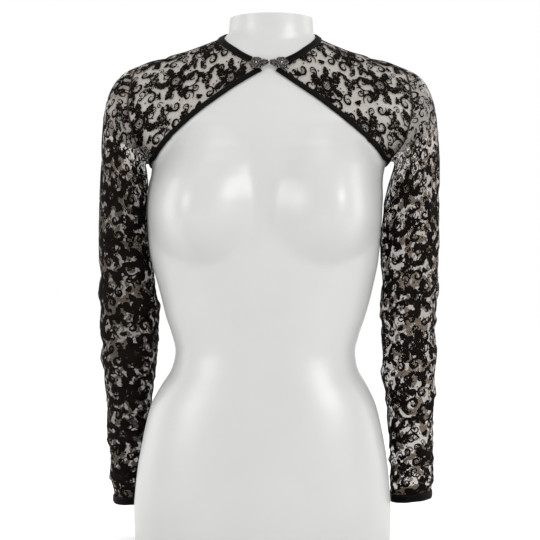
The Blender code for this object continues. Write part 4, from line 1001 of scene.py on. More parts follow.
def cloth_print(u, v):
    """How far inside the pattern's black parts each place of the flat cloth lies, in millimetres."""
    u, v = u * 1000 / PATTERN_SCALE, v * 1000 / PATTERN_SCALE
    column = np.floor(u / REPEAT_WIDTH)
    inside = np.full(u.shape, FAR_OUTSIDE)
    prints = (
        (flower_print, FLOWERS),
        (leaf_print, garland_leaves()),
        (scroll_print, SCROLLS),
        (spray_print, SPRAYS),
        (dot_print, DOTS),
    )
    for step in (-1, 0, 1):
        odd = (column + step) % 2
        left = u - (column + step) * REPEAT_WIDTH
        left = np.where(odd > 0, REPEAT_WIDTH - left, left)
        up = v - odd * REPEAT_HEIGHT / 2
        for draw, rows in prints:
            for across, height, *shape in rows:
                y = (up - height + REPEAT_HEIGHT / 2) % REPEAT_HEIGHT - REPEAT_HEIGHT / 2
                near = np.abs(left - across) < MOTIF_REACH
                near &= np.abs(y) < MOTIF_REACH
                place = draw(left[near] - across, y[near], *shape)
                inside[near] = np.maximum(inside[near], place)
    return inside * PATTERN_SCALE


# Cloth as a grid.


class Cloth:
    """A sheet of cloth as a grid of points with normals, and each point's place on the flat cloth.
    The flat place is in metres: across from the first column or the line of columns' middle, and down
    from the first row."""

    def __init__(self, grid, flat):
        self.grid = grid
        self.flat = flat

    def at(self, row, column, lift=0.0):
        """Points, normals and flat places at fractional rows and columns, by bilinear mixing."""
        rows, columns = self.grid.shape[:2]
        first = np.clip(np.floor(row).astype(int), 0, rows - 2)
        left = np.clip(np.floor(column).astype(int), 0, columns - 2)
        v = (row - first)[..., None]
        u = (column - left)[..., None]
        both = np.concatenate([self.grid, self.flat], axis=-1)
        mixed = (1 - v) * ((1 - u) * both[first, left] + u * both[first, left + 1])
        mixed = mixed + v * ((1 - u) * both[first + 1, left] + u * both[first + 1, left + 1])
        normal = mixed[..., 3:6] / np.linalg.norm(mixed[..., 3:6], axis=-1, keepdims=True)
        return mixed[..., :3] + normal * lift, normal, mixed[..., 6:]


def run_along(points, axis):
    """The length of the line of points up to each of them, along one axis of a grid."""
    step = np.linalg.norm(np.diff(points, axis=axis), axis=-1)
    start = np.zeros_like(np.take(step, [0], axis=axis))
    return np.concatenate([start, np.cumsum(step, axis=axis)], axis=axis)


def panel_flat(grid):
    """A panel's flat places: across the body by x, and down by the length from the shoulder."""
    down = run_along(grid[..., 1:3], 0)
    slope = run_along(grid[:1, :, [0, 2]], 1)[0, -1] / abs(grid[0, -1, 0] - grid[0, 0, 0])
    return np.stack([grid[..., 0] * slope, -down], axis=-1)


def new_object(name, data):
    made = bpy.data.objects.new(name, data)
    bpy.context.scene.collection.objects.link(made)
    return made


def new_piece(name, points, faces, material, flat=None):
    """A smooth mesh that rides the part's one body, with its flat places as its UV map."""
    mesh = bpy.data.meshes.new(name)
    mesh.from_pydata(np.asarray(points, float).tolist(), [], faces)
    mesh.materials.append(material)
    if flat is not None:
        layer = mesh.uv_layers.new(name="flat_cloth")
        corners = np.empty(len(mesh.loops), int)
        mesh.loops.foreach_get("vertex_index", corners)
        layer.data.foreach_set("uv", np.asarray(flat, float).reshape(-1, 2)[corners].ravel())
    mesh.update()
    mesh.shade_smooth()
    piece = new_object(name, mesh)
    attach(piece, "root")
    return piece


def net_piece(name, cloth, material, gathered):
    """The net itself, one open surface. It carries how gathered it hangs in each of its rows, which
    also sets the painted shade in its tone.
    """
    rows, columns = cloth.grid.shape[:2]
    faces = outward_faces(cloth.grid, grid_faces(rows, columns, False))
    piece = new_piece(name, cloth.grid[..., :3].reshape(-1, 3), faces, material, cloth.flat)
    set_values(piece, "gathered", np.broadcast_to(gathered, (rows, columns)))
    return piece


def set_values(piece, name, values):
    layer = piece.data.attributes.new(name, "FLOAT", "POINT")
    layer.data.foreach_set("value", np.ascontiguousarray(values, np.float32).ravel())


def outward_faces(grid, faces):
    """The faces turned, if need be, to look the way the grid's normals point."""
    a, b, _, d = (grid.reshape(-1, 6)[faces[len(faces) // 2][k]] for k in range(4))
    facing = np.dot(np.cross(b[:3] - a[:3], d[:3] - a[:3]), a[3:])
    return faces if facing > 0 else [tuple(reversed(face)) for face in faces]


# The flock, cut out of a fine lattice along the pattern's outline.

CORNERS = ((0, 0), (0, 1), (1, 1), (1, 0))


def flock_piece(name, cloth, material, gathering, shift, turn, spreads, step_down):
    """The pattern's black parts, lying on the net. The shift and the turn place the piece on the
    patterned cloth, and the spreads are for its open and its gathered rows."""
    rows = int(np.abs(np.ptp(cloth.flat[..., 1], axis=0)).max() / step_down)
    columns = int(np.ptp(cloth.flat[..., 0], axis=1).max() / FLOCK_STEP_ACROSS)
    row = np.linspace(0, cloth.grid.shape[0] - 1, rows + 1)[:, None]
    column = np.linspace(0, cloth.grid.shape[1] - 1, columns + 1)[None, :]
    row, column = np.broadcast_arrays(row, column)
    across, down = np.moveaxis(cloth.at(row, column)[2], -1, 0)
    c, s = math.cos(math.radians(turn)), math.sin(math.radians(turn))
    inside = cloth_print(across * c - down * s + shift[0], across * s + down * c + shift[1])
    gathered = np.interp(row[:, 0], np.arange(len(gathering)), gathering)
    inside = inside + np.interp(gathered, (0, 1), spreads)[:, None]
    places, faces = outline_cells(inside)
    points, normals, flat = cloth.at(
        np.interp(places[:, 0], [0, rows], [0, cloth.grid.shape[0] - 1]),
        np.interp(places[:, 1], [0, columns], [0, cloth.grid.shape[1] - 1]),
        FLOCK_LIFT,
    )
    a, b, d = (points[faces[0][k]] for k in (0, 1, -1))
    if np.dot(np.cross(b - a, d - a), normals[faces[0][0]]) < 0:
        faces = [tuple(reversed(face)) for face in faces]
    return new_piece(name, points, faces, material, flat)


def outline_cells(inside):
    """Places and faces of the lattice's parts where `inside` is above 0. Each cell's face runs round
    its inner corners and the crossings of its sides, and a run of inner cells becomes one face."""
    dark = inside > 0
    number, places = number_points(inside, dark)
    rings = [inner_rings(dark, number), *crossed_rings(dark, number)]
    used = np.unique(np.concatenate([ring.ravel() for ring in rings]))
    number = np.full(len(places), -1)
    number[used] = np.arange(len(used))
    faces = [face for ring in rings for face in number[ring].tolist()]
    return places[used], faces


def number_points(inside, dark):
    """The number and the place of each inner node and each crossing. The numbers are in three layers:
    nodes, sides along the rows, and sides down the columns."""
    number = np.full(3 * inside.size, -1)
    places = np.argwhere(dark).astype(float)
    number[np.flatnonzero(dark)] = np.arange(len(places))
    for axis, layer in ((1, 1), (0, 2)):
        after = np.roll(inside, -1, axis=axis)
        crossed = dark != (after > 0)
        crossed[(slice(None), -1) if axis else (-1, slice(None))] = False
        at = np.flatnonzero(crossed)
        number[layer * inside.size + at] = len(places) + np.arange(len(at))
        share = inside[crossed] / (inside[crossed] - after[crossed])
        crossing = np.argwhere(crossed).astype(float)
        crossing[:, axis] += np.clip(share, *CROSSING_RANGE)
        places = np.concatenate([places, crossing])
    return number, places


def inner_rings(dark, number):
    """The corners of each run of whole cells."""
    columns = dark.shape[1]
    row, column, length = whole_runs(dark[:-1, :-1] & dark[:-1, 1:] & dark[1:, 1:] & dark[1:, :-1])
    corners = [number[(row + dr) * columns + column + dc * length] for dr, dc in CORNERS]
    return np.stack(corners, axis=-1)


def crossed_rings(dark, number):
    """The corners and crossings of the cells that the outline cuts, for each way to cut a cell."""
    rows, columns = dark.shape
    code = np.zeros((rows - 1, columns - 1), int)
    for k, (dr, dc) in enumerate(CORNERS):
        code += dark[dr : rows - 1 + dr, dc : columns - 1 + dc] << k
    rings = []
    for case in range(1, 2 ** len(CORNERS) - 1):
        row, column = np.nonzero(code == case)
        here = row * columns + column
        along, down = dark.size + here, 2 * dark.size + here
        sides = (along, down + 1, along + columns, down)
        ring = []
        for k, (dr, dc) in enumerate(CORNERS):
            now, after = case >> k & 1, case >> (k + 1) % 4 & 1
            if now:
                ring.append(number[here + dr * columns + dc])
            if now != after:
                ring.append(number[sides[k]])
        rings.append(np.stack(ring, axis=-1))
    return rings


def whole_runs(whole):
    """The row, the first column and the length of each run of whole cells, none over the longest."""
    column = np.broadcast_to(np.arange(whole.shape[1]), whole.shape)
    before = np.pad(whole, ((0, 0), (1, 0)))[:, :-1]
    after = np.pad(whole, ((0, 0), (0, 1)))[:, 1:]
    first = np.maximum.accumulate(np.where(whole & ~before, column, 0), axis=1)
    last = np.where(whole & ~after, column, whole.shape[1])
    last = np.minimum.accumulate(last[:, ::-1], axis=1)[:, ::-1]
    r, c = np.nonzero(whole & ((column - first) % LONGEST_RUN == 0))
    return r, c, np.minimum(LONGEST_RUN, last[r, c] - c + 1)


# Bands, welts and stitches.


def band_height(share):
    """How far a band's face stands off the cloth at a share of the way across it."""
    bulge = np.sqrt(1 - np.abs(2 * share - 1) ** 3)
    return BAND_LIFT + BAND_BULGE * (BAND_EDGE + (1 - BAND_EDGE) * bulge)


def band_piece(name, first, second, closed, material):
    """A flat, soft-edged band between two lines of points and normals, thicker in its middle."""
    share = np.linspace(0.0, 1.0, BAND_COLUMNS)[None, :, None]
    rows = (1 - share) * first[:, None] + share * second[:, None]
    normal = rows[..., 3:] / np.linalg.norm(rows[..., 3:], axis=-1, keepdims=True)
    upper = rows[..., :3] + normal * band_height(share)
    lower = rows[..., :3] + normal * BAND_LIFT
    ring = np.concatenate([upper, lower[:, ::-1]], axis=1)
    count, around = ring.shape[:2]
    if closed:
        faces = grid_faces(count + 1, around, True)
        faces = [tuple(corner % (count * around) for corner in face) for face in faces]
    else:
        faces = tube_faces(count, around)
    points = ring.reshape(-1, 3)
    flat = np.stack([run_along(ring, 1), run_along(ring, 0)], axis=-1)
    return new_piece(name, points, closed_faces(points, faces), material, flat)


def stitch_nodes(material):
    """Geometry Nodes that lay one stitch at each step along a line."""
    tree = bpy.data.node_groups.new("stitch_row", "GeometryNodeTree")
    tree.interface.new_socket("Line", in_out="INPUT", socket_type="NodeSocketGeometry")
    for name in ("Spacing", "Length", "Thickness"):
        tree.interface.new_socket(name, in_out="INPUT", socket_type="NodeSocketFloat")
    tree.interface.new_socket("Stitches", in_out="OUTPUT", socket_type="NodeSocketGeometry")
    given, curve, steps, place, stitch, size, turn, vary, length, tangent, real, finish, out = (
        tree.nodes.new(kind)
        for kind in (
            "NodeGroupInput",
            "GeometryNodeMeshToCurve",
            "GeometryNodeResampleCurve",
            "GeometryNodeInstanceOnPoints",
            "GeometryNodeMeshIcoSphere",
            "ShaderNodeCombineXYZ",
            "FunctionNodeAlignRotationToVector",
            "FunctionNodeRandomValue",
            "ShaderNodeMath",
            "GeometryNodeInputTangent",
            "GeometryNodeRealizeInstances",
            "GeometryNodeSetMaterial",
            "NodeGroupOutput",
        )
    )
    steps.mode = "LENGTH"
    turn.axis = "Z"
    stitch.inputs["Radius"].default_value = 0.5
    vary.data_type = "FLOAT"
    length.operation = "MULTIPLY"
    vary.inputs[2].default_value = STITCH_SHORTEST
    vary.inputs[3].default_value = STITCH_LONGEST
    vary.inputs["Seed"].default_value = STITCH_SEED
    finish.inputs["Material"].default_value = material
    for source, target in (
        (given.outputs["Line"], curve.inputs["Mesh"]),
        (curve.outputs["Curve"], steps.inputs["Curve"]),
        (given.outputs["Spacing"], steps.inputs["Length"]),
        (steps.outputs["Curve"], place.inputs["Points"]),
        (stitch.outputs["Mesh"], place.inputs["Instance"]),
        (tangent.outputs["Tangent"], turn.inputs["Vector"]),
        (turn.outputs["Rotation"], place.inputs["Rotation"]),
        (given.outputs["Length"], length.inputs[0]),
        (vary.outputs[1], length.inputs[1]),
        (given.outputs["Thickness"], size.inputs["X"]),
        (given.outputs["Thickness"], size.inputs["Y"]),
        (length.outputs["Value"], size.inputs["Z"]),
        (size.outputs["Vector"], place.inputs["Scale"]),
        (place.outputs["Instances"], real.inputs["Geometry"]),
        (real.outputs["Geometry"], finish.inputs["Geometry"]),
        (finish.outputs["Geometry"], out.inputs["Stitches"]),
    ):
        tree.links.new(source, target)
    return tree


def stitch_row(name, first, second, closed, thread):
    """A row of stitches along a band between two lines, near the second one."""
    rows = (1 - STITCH_SHARE) * first + STITCH_SHARE * second
    normal = rows[:, 3:] / np.linalg.norm(rows[:, 3:], axis=-1, keepdims=True)
    points = rows[:, :3] + normal * band_height(STITCH_SHARE)
    count = len(points)
    line = bpy.data.meshes.new(name)
    steps = [(i, (i + 1) % count) for i in range(count if closed else count - 1)]
    line.from_pydata(points.tolist(), steps, [])
    piece = new_object(name, line)
    row = piece.modifiers.new("stitch_row", "NODES")
    row.node_group = stitch_nodes(thread)
    sizes = {"Spacing": STITCH_SPACING, "Length": STITCH_LENGTH, "Thickness": STITCH_THICKNESS}
    for socket in row.node_group.interface.items_tree:
        if socket.name in sizes:
            row[socket.identifier] = sizes[socket.name]
    made = piece.evaluated_get(bpy.context.evaluated_depsgraph_get())
    stitches = bpy.data.meshes.new_from_object(made)
    piece.modifiers.remove(row)
    piece.data = stitches
    stitches.shade_smooth()
    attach(piece, "root")
    return piece


def welt_piece(name, line, material):
    """A low rounded welt along a seam: the seam's folded edges under the net."""
    tangent = np.gradient(line[:, :3], axis=0)
    tangent /= np.linalg.norm(tangent, axis=-1, keepdims=True)
    side = np.cross(tangent, line[:, 3:])
    turns = np.arange(WELT_SIDES) * 2 * math.pi / WELT_SIDES
    ring = line[:, None, :3] + side[:, None] * (np.cos(turns) * WELT_HALF_WIDTH)[None, :, None]
    ring = ring + line[:, None, 3:] * (np.sin(turns) * WELT_HEIGHT)[None, :, None]
    points = ring.reshape(-1, 3)
    faces = closed_faces(points, tube_faces(*ring.shape[:2]))
    flat = np.stack([run_along(ring, 1), run_along(ring, 0)], axis=-1)
    return new_piece(name, points, faces, material, flat)


# Materials.


class Value:
    """A number that varies over a surface. Arithmetic on it adds Math nodes."""

    def __init__(self, finish, socket):
        self.finish = finish
        self.socket = socket

    def combine(self, operation, first, second):
        return self.finish.add("ShaderNodeMath", {"operation": operation}, [first, second])

    def __add__(self, other):
        return self.combine("ADD", self, other)

    __radd__ = __add__

    def __sub__(self, other):
        return self.combine("SUBTRACT", self, other)

    def __rsub__(self, other):
        return self.combine("SUBTRACT", other, self)

    def __mul__(self, other):
        return self.combine("MULTIPLY", self, other)

    __rmul__ = __mul__

    def above(self, other):
        return self.combine("MAXIMUM", self, other)


class Finish:
    """A material and its nodes."""

    def __init__(self, name, roughness, metallic=0.0, specular=0.5):
        self.material = bpy.data.materials.new(name)
        self.material.use_nodes = True
        self.tree = self.material.node_tree
        self.shader = self.tree.nodes["Principled BSDF"]
        self.shader.inputs["Roughness"].default_value = roughness
        self.shader.inputs["Metallic"].default_value = metallic
        self.shader.inputs["Specular IOR Level"].default_value = specular

    def add(self, kind, settings, values, output=0):
        """A node with its settings and the values or links of its sockets. Returns one output."""
        node = self.tree.nodes.new(kind)
        for setting, value in settings.items():
            setattr(node, setting, value)
        for key, value in values.items() if isinstance(values, dict) else enumerate(values):
            self.feed(node.inputs[key], value)
        return Value(self, node.outputs[output])

    def feed(self, socket, value):
        if isinstance(value, Value):
            self.tree.links.new(value.socket, socket)
        else:
            socket.default_value = value

    def surface(self, key, value):
        self.feed(self.shader.inputs[key], value)

    def place(self):
        return self.add("ShaderNodeTexCoord", {}, {}, "Object")

    def flat(self):
        return self.add("ShaderNodeUVMap", {"uv_map": "flat_cloth"}, {})

    def attribute(self, name):
        return self.add("ShaderNodeAttribute", {"attribute_name": name}, {}, "Fac")

    def noise(self, place, scale, detail=3.0, roughness=0.5):
        values = {"Vector": place, "Scale": scale, "Detail": detail, "Roughness": roughness}
        return self.add("ShaderNodeTexNoise", {}, values)

    def bands(self, place, scale, direction):
        values = {"Vector": place, "Scale": scale}
        settings = {"wave_type": "BANDS", "bands_direction": direction}
        return self.add("ShaderNodeTexWave", settings, values, "Fac")

    def mix(self, factor, first, second):
        settings = {"data_type": "RGBA"}
        values = {0: factor, 6: first, 7: second}
        return self.add("ShaderNodeMix", settings, values, 2)

    def spread(self, value, low, high, start, end):
        values = {"Value": value, "From Min": low, "From Max": high, "To Min": start, "To Max": end}
        return self.add("ShaderNodeMapRange", {}, values)

    def share(self, value, low, high):
        """How far the value lies from low to high, as a share from 0 to 1."""
        return self.spread(value, low, high, 0.0, 1.0)

    def tones(self, factor, tones):
        first, second = (colour(*tone) for tone in tones)
        self.surface("Base Color", self.mix(factor, first, second))

    def bump(self, height, distance):
        values = {"Height": height, "Distance": distance}
        self.surface("Normal", self.add("ShaderNodeBump", {}, values))


def colour(red, green, blue):
    return (red, green, blue, 1.0)


def gloss_finish():
    """The form's glossy off-white shell, a little uneven in tone and gloss."""
    finish = Finish("shell_gloss", 0.38)
    place = finish.place()
    broad = finish.noise(place, scale=9.0, detail=3.0)
    fine = finish.noise(place, scale=240.0, detail=2.0)
    finish.tones(finish.share(broad, *NOISE_RANGE), SHELL_TONES)
    finish.surface("Roughness", finish.spread(broad, *NOISE_RANGE, start=0.36, end=0.42))
    finish.surface("Coat Weight", 0.08)
    finish.surface("Coat Roughness", 0.22)
    finish.bump(fine, distance=0.00004)
    return finish.material


def net_finish():
    """Fine tan net: slanting threads with light between them. Where it hangs gathered, more layers
    lie together, so it covers more, and its tone is darkened by painted shade among the crumpled
    layers."""
    finish = Finish("sheer_net", 0.75, specular=0.15)
    flat = finish.flat()
    gathered = finish.attribute("gathered")
    rising = finish.bands(flat, NET_THREADS_SCALE, "DIAGONAL")
    turned = finish.add("ShaderNodeVectorMath", {"operation": "MULTIPLY"}, [flat, (-1.0, 1.0, 1.0)])
    falling = finish.bands(turned, NET_THREADS_SCALE, "DIAGONAL")
    threads = rising.above(falling)
    patchy = finish.noise(flat, scale=26.0, detail=3.0)
    pale, dark = (colour(*shade) for shade in NET_SHADES)
    open_tone = finish.mix(finish.share(patchy, *NOISE_RANGE), dark, pale)
    # Where it hangs gathered, the base colour goes to a dark tone: painted shade among the crumpled
    # layers.
    finish.surface("Base Color", finish.mix(gathered, open_tone, colour(*NET_GATHERED_SHADE)))
    cover = finish.spread(threads, 0.0, 1.0, start=NET_HOLES, end=NET_THREADS)
    finish.surface("Alpha", cover + gathered * NET_LAYERED + (patchy - 0.5) * 0.08)
    finish.bump(threads, distance=0.00006)
    return finish.material


def flock_finish():
    """Short black velvety pile, a little worn and uneven."""
    finish = Finish("black_flock", 0.95, specular=0.03)
    flat = finish.flat()
    fine = finish.noise(flat, scale=1500.0, detail=2.0)
    worn = finish.noise(flat, scale=55.0, detail=4.0, roughness=0.6)
    finish.tones(finish.share(worn, 0.35, 0.75), FLOCK_TONES)
    finish.surface("Roughness", finish.spread(worn, *NOISE_RANGE, start=0.85, end=1.0))
    finish.bump(fine, distance=0.0002)
    return finish.material


def binding_finish():
    """Black bias binding with fine cross ribs and a dull sheen."""
    finish = Finish("ribbed_ribbon", 0.55, specular=0.03)
    flat = finish.flat()
    ribs = finish.bands(flat, 330.0, "Y")
    slubs = finish.noise(flat, scale=160.0, detail=3.0)
    finish.tones(finish.share(slubs, *NOISE_RANGE), RIBBON_TONES)
    finish.surface("Roughness", finish.spread(slubs, *NOISE_RANGE, start=0.42, end=0.62))
    finish.bump(ribs + slubs * 0.8, distance=0.00012)
    return finish.material


def seam_finish():
    """The folded net of the seams, darkened by its layers and its thread."""
    finish = Finish("seam_welt", 0.85, specular=0.08)
    twists = finish.bands(finish.flat(), 420.0, "Y")
    finish.tones(twists, SEAM_TONES)
    finish.bump(twists, distance=0.0002)
    return finish.material


def thread_finish():
    """Black sewing thread, with its twist."""
    finish = Finish("stitch_thread", 0.6, specular=0.2)
    finish.tones(finish.bands(finish.place(), 900.0, "DIAGONAL"), THREAD_TONES)
    return finish.material


def metal_finish(name, rubbed_bright=None):
    """Antique silver, bright where it is rubbed and nearly black in its hollows. Worked metal takes
    its hollows from the mesh's relief, and plain wire is rubbed evenly."""
    finish = Finish(name, 0.32, 1.0)
    stain = finish.noise(finish.place(), scale=900.0, detail=4.0, roughness=0.6)
    raised = finish.attribute("relief") if rubbed_bright is None else rubbed_bright
    rubbed = stain * 0.35 + raised
    finish.tones(finish.share(rubbed, 0.46, 1.10), SILVER_TONES)
    finish.surface("Roughness", finish.spread(rubbed, 0.45, 0.95, start=0.60, end=0.22))
    finish.bump(stain, distance=0.00008)
    return finish.material


def floor_finish():
    finish = Finish("studio_floor", 0.9, specular=0.0)
    finish.surface("Base Color", colour(1.0, 1.0, 1.0))
    return finish.material


# The pieces.


def form_piece(material):
    heights = [row[0] for row in FORM_SECTIONS]
    fine = [np.linspace(a, b, RINGS_A_STATION, endpoint=False) for a, b in zip(heights, heights[1:])]
    fine = np.append(np.concatenate(fine), heights[-1])
    points, faces = form_mesh(fine, SHELL_SIDES)
    piece = new_piece("dress_form_shell", points, faces, material)
    piece.data.set_sharp_from_angle(angle=math.radians(SHELL_SHARP_ANGLE))
    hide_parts("dress_form")


def front_grid(form, side):
    tip = point_at_height(form, CLASP_SHIFT + side * PANEL_TIP_X, PANEL_TIP_Z, 1)
    neck = np.vstack([tip, panel_neck(form, side, 1)[2:]])[::-1]
    armhole = armhole_seam(form, side, 1, -SEAM_GAP / 2)
    shoulder = shoulder_seam(form, side, 1, neck[0], HEM_STEPS)
    edge = lower_edge(form, FRONT_EDGE, side, 1, HEM_STEPS)
    hem = above_edge(form, edge, HEM_BAND_WIDTH + SEAM_GAP, 1)
    armhole[0] = shoulder[-1]
    hem[0], armhole[-1] = tip, hem[-1]
    return patch(form, shoulder, hem, neck, armhole, 1)


def back_grid(form):
    top, hem, armholes = [], [], []
    for side in (-1, 1):
        neck = panel_neck(form, side, -1)
        shoulder = shoulder_seam(form, side, -1, neck[0], HEM_STEPS - NECK_BACK_STEPS)
        armhole = armhole_seam(form, side, -1, -SEAM_GAP / 2)
        edge = lower_edge(form, BACK_EDGE, side, -1, HEM_STEPS)
        edge = above_edge(form, edge, HEM_BAND_WIDTH + SEAM_GAP, -1)
        armhole[0], armhole[-1] = shoulder[-1], edge[-1]
        top.append(np.vstack([shoulder[::-1], neck[1:]]))
        hem.append(edge[::-1])
        armholes.append(armhole)
    top = np.vstack([top[0][:-1], top[1][::-1]])
    hem = np.vstack([hem[0][:-1], hem[1][::-1]])
    return patch(form, top, hem, armholes[0], armholes[1], -1)


def crumples(run, angle, side):
    """Small uneven crumples that grow down the sleeve."""
    grown = smooth_step((run - CRUMPLE_START) / (CRUMPLE_FULL - CRUMPLE_START))
    total = np.zeros((run.shape[0], angle.shape[1]))
    for row, column in np.ndindex(total.shape):
        turn = angle[0, column]
        across = math.cos(turn) / CRUMPLE_ROUND
        forward = math.sin(turn) / CRUMPLE_ROUND + CRUMPLE_APART * side
        place = Vector((across, forward, run[row, 0] / CRUMPLE_DOWN))
        total[row, column] = noise.noise(place) + CRUMPLE_LOWER * noise.noise(place * CRUMPLE_FINER)
    return total * grown * CRUMPLE_HEIGHT


def sleeve_stations():
    """Where the sleeve's rows lie on its table, closer together where it crumples."""
    rows = np.concatenate([np.linspace(a, b, n, endpoint=False) for a, b, n in SLEEVE_RINGS])
    return np.append(rows, SLEEVE_RINGS[-1][1])[:, None]


def sleeve_cloth(form, side, table, folds):
    """The sleeve's cloth, open along the seam on its inner side."""
    stations = sleeve_stations()
    armhole = sleeve_armhole(form, side)
    angle = np.arange(len(armhole))[None, :] * 2 * math.pi / len(armhole)
    middle, width, depth = sleeve_axes(table, stations)
    power = 2 / SLEEVE_POWER
    across = signed_power(np.cos(angle), power)[..., None]
    forward = signed_power(np.sin(angle), power)[..., None]
    grid = (middle + across * width + forward * depth) * (side, 1, 1)
    blend = smooth_step(stations / CAP_BLEND_STATIONS)[..., None]
    grid = grid + (1 - blend) * (armhole[None, :, :3] - grid[:1])
    smooth = grid
    run = np.concatenate(([0.0], np.cumsum(np.linalg.norm(np.diff(middle[:, 0], axis=0), axis=1))))
    bump = fold_height(folds, stations, run[:, None], angle) + crumples(run[:, None], angle, side)
    grid = grid + outward_normals(grid) * (bump[..., None] + 0.5 * CLOTH_THICKNESS)
    grid[1:] = clear_of_form(form, grid, outward_normals(grid))[1:]
    normal = outward_normals(grid)
    normal[0] = armhole[:, 3:]
    grid = np.concatenate([grid, normal], axis=-1)
    half = len(armhole) // 2
    grid, smooth = (np.roll(sheet, -half, axis=1) for sheet in (grid, smooth))
    grid, smooth = (np.concatenate([sheet, sheet[:, :1]], axis=1) for sheet in (grid, smooth))
    return Cloth(grid, sleeve_flat(smooth))


def sleeve_flat(smooth):
    """The sleeve's flat places: across from the line down its outside, and up from the cuff."""
    across = run_along(smooth, 1)
    middle = across[:, across.shape[1] // 2][:, None]
    up = run_along(smooth[::-1], 0)[::-1]
    return np.stack([across - middle, up], axis=-1)


def cuff_lines(ring):
    """The lines of the band round the sleeve's end: over the last row of the cloth and below it."""
    down = np.array((0.0, 0.0, -1.0))
    out = ring[:, :3] - ring[:, :3].mean(axis=0)
    out /= np.linalg.norm(out, axis=-1, keepdims=True)
    upper = np.concatenate([ring[:, :3] - down * BAND_OVERLAP, out], axis=-1)
    lower = np.concatenate([ring[:, :3] + down * (SEAM_GAP + CUFF_BAND_HEIGHT), out], axis=-1)
    return lower, upper


def rosette_relief(share, angle):
    """The filigree's height, from 0 to 1, at a share of the rosette's radius and an angle."""
    step = 2 * math.pi / ROSETTE_PETALS
    off = (angle + step / 2) % step - step / 2
    across = off * share
    oval = np.hypot((share - PETAL_MIDDLE) / PETAL_HALF_LENGTH, across / PETAL_HALF_WIDTH)
    ground = 0.22 + 0.10 * np.cos(3 * ROSETTE_PETALS * angle) * (share > 0.4)
    rim = 0.42 * ridge(oval - 0.86, 0.13)
    rib = 0.26 * ridge(across, 0.035) * (oval < 0.75)
    inner_rim = 0.20 * ridge(oval - 0.50, 0.09)
    grains = np.clip(np.cos(4 * ROSETTE_PETALS * angle), 0, 1) ** 0.5
    grains = 0.40 * grains * ridge(share - 0.33, 0.045)
    drop = np.hypot((share - 0.90) / 0.07, (np.abs(off) - step / 2) * share / 0.10)
    drops = 0.50 * np.clip(1 - drop**2, 0, 1) ** 0.5
    dome = np.sqrt(np.clip(1 - (share / DOME_RADIUS) ** 2, 0, 1))
    twist = 1 + 0.10 * np.cos(6 * angle + share * 22)
    petals = ground + rim + rib + inner_rim + grains + drops
    return np.where(share < DOME_RADIUS, np.maximum(0.35, dome * twist), petals)


def rosette_frame(form, side, node):
    """The middle of the rosette's base, and the directions to its right, up and out of it."""
    points = np.array([tuple(v.co) for v in bpy.data.objects[node].data.vertices])
    seat = point_at_height(form, CLASP_SHIFT + side * ROSETTE_X, ROSETTE_Z, 1)
    out = seat[3:] / np.linalg.norm(seat[3:])
    depth = (points - seat[:3]) @ out
    middle = (points.min(axis=0) + points.max(axis=0)) / 2
    middle = middle + out * (depth.min() - (middle - seat[:3]) @ out)
    up = np.array((0.0, 0.0, 1.0)) - out * out[2]
    up /= np.linalg.norm(up)
    return middle, np.cross(up, out), up, out


def rosette_piece(form, side, name, material):
    """A silver filigree rosette: raised petals with rims and ribs, a ring of grains and a dome."""
    middle, right, up, out = rosette_frame(form, side, name)
    angle = np.arange(ROSETTE_SIDES) * 2 * math.pi / ROSETTE_SIDES
    share = np.linspace(1.0, SMALLEST_RING, ROSETTE_RINGS)[:, None]
    rim = 1 + ROSETTE_SCALLOP * (np.abs(np.cos(ROSETTE_PETALS * angle / 2)) - SCALLOP_MIDDLE)
    reach = ROSETTE_RADIUS * share * (1 + (rim - 1) * share)
    height = ROSETTE_HEIGHT * np.clip(rosette_relief(share, angle[None]), LOWEST_HOLLOW, 1.0)
    height[0] = ROSETTE_HEIGHT * OUTER_EDGE
    height = np.concatenate([np.zeros((1, ROSETTE_SIDES)), height])
    reach = np.concatenate([reach[:1], reach])
    grid = middle + (reach * np.cos(angle))[..., None] * right + (reach * np.sin(angle))[..., None] * up
    grid = grid + height[..., None] * out
    places = grid.reshape(-1, 3)
    faces = closed_faces(places, tube_faces(len(grid), ROSETTE_SIDES))
    piece = new_piece(name + "_filigree", places, faces, material)
    set_values(piece, "relief", height / ROSETTE_HEIGHT)
    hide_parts(name)


def lobe_relief(along, across):
    """The lobe's height, from its root to its tip and from edge to edge: a rim, a rib and a curl."""
    rim = ridge(np.abs(across) - 0.80, 0.13)
    rib = ridge(across, 0.13)
    curl = np.hypot((along - 0.45) / 0.30, (np.abs(across) - 0.42) / 0.30)
    height = 0.25 + 0.55 * rim + 0.45 * rib + 0.45 * ridge(curl - 0.75, 0.22)
    return height * np.sqrt(np.clip(1 - np.abs(across) ** 6, 0, 1)) + 0 * along


def lobe_piece(side, node, name, material):
    """The filigree lobe that tapers from a rosette to the eye, over the node's hook or bar: a leaf
    with a scalloped edge."""
    box = np.array(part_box(node))
    start = CLASP_SHIFT + side * (ROSETTE_X - LOBE_ROOT * ROSETTE_RADIUS)
    end = CLASP_SHIFT + side * LOBE_TIP
    level = box[:, 2].mean()
    along = np.linspace(0.0, 1.0, LOBE_STEPS)[:, None]
    across = np.linspace(-1.0, 1.0, LOBE_STEPS)[None, :]
    scallop = 1 + LOBE_SCALLOP * np.abs(np.sin(along * math.pi * LOBE_SCALLOPS))
    half = (LOBE_BASE + (LOBE_END - LOBE_BASE) * along**0.8) * scallop
    x = start + (end - start) * along + 0 * across
    z = level + half * across + (ROSETTE_Z - level) * (1 - along) * 0.5
    height = lobe_relief(along, across)
    front = box[0, 1] - LOBE_LIFT
    top = np.stack([x, front - LOBE_HEIGHT * height, z], axis=-1)
    back = np.stack([x, front + LOBE_THICKNESS + 0 * x, z], axis=-1)
    ring = np.concatenate([top, back[:, ::-1]], axis=1)
    places = ring.reshape(-1, 3)
    faces = closed_faces(places, tube_faces(*ring.shape[:2]))
    piece = new_piece(name, places, faces, material)
    set_values(piece, "relief", LOBE_TONE * np.concatenate([height, 0 * height], axis=1))


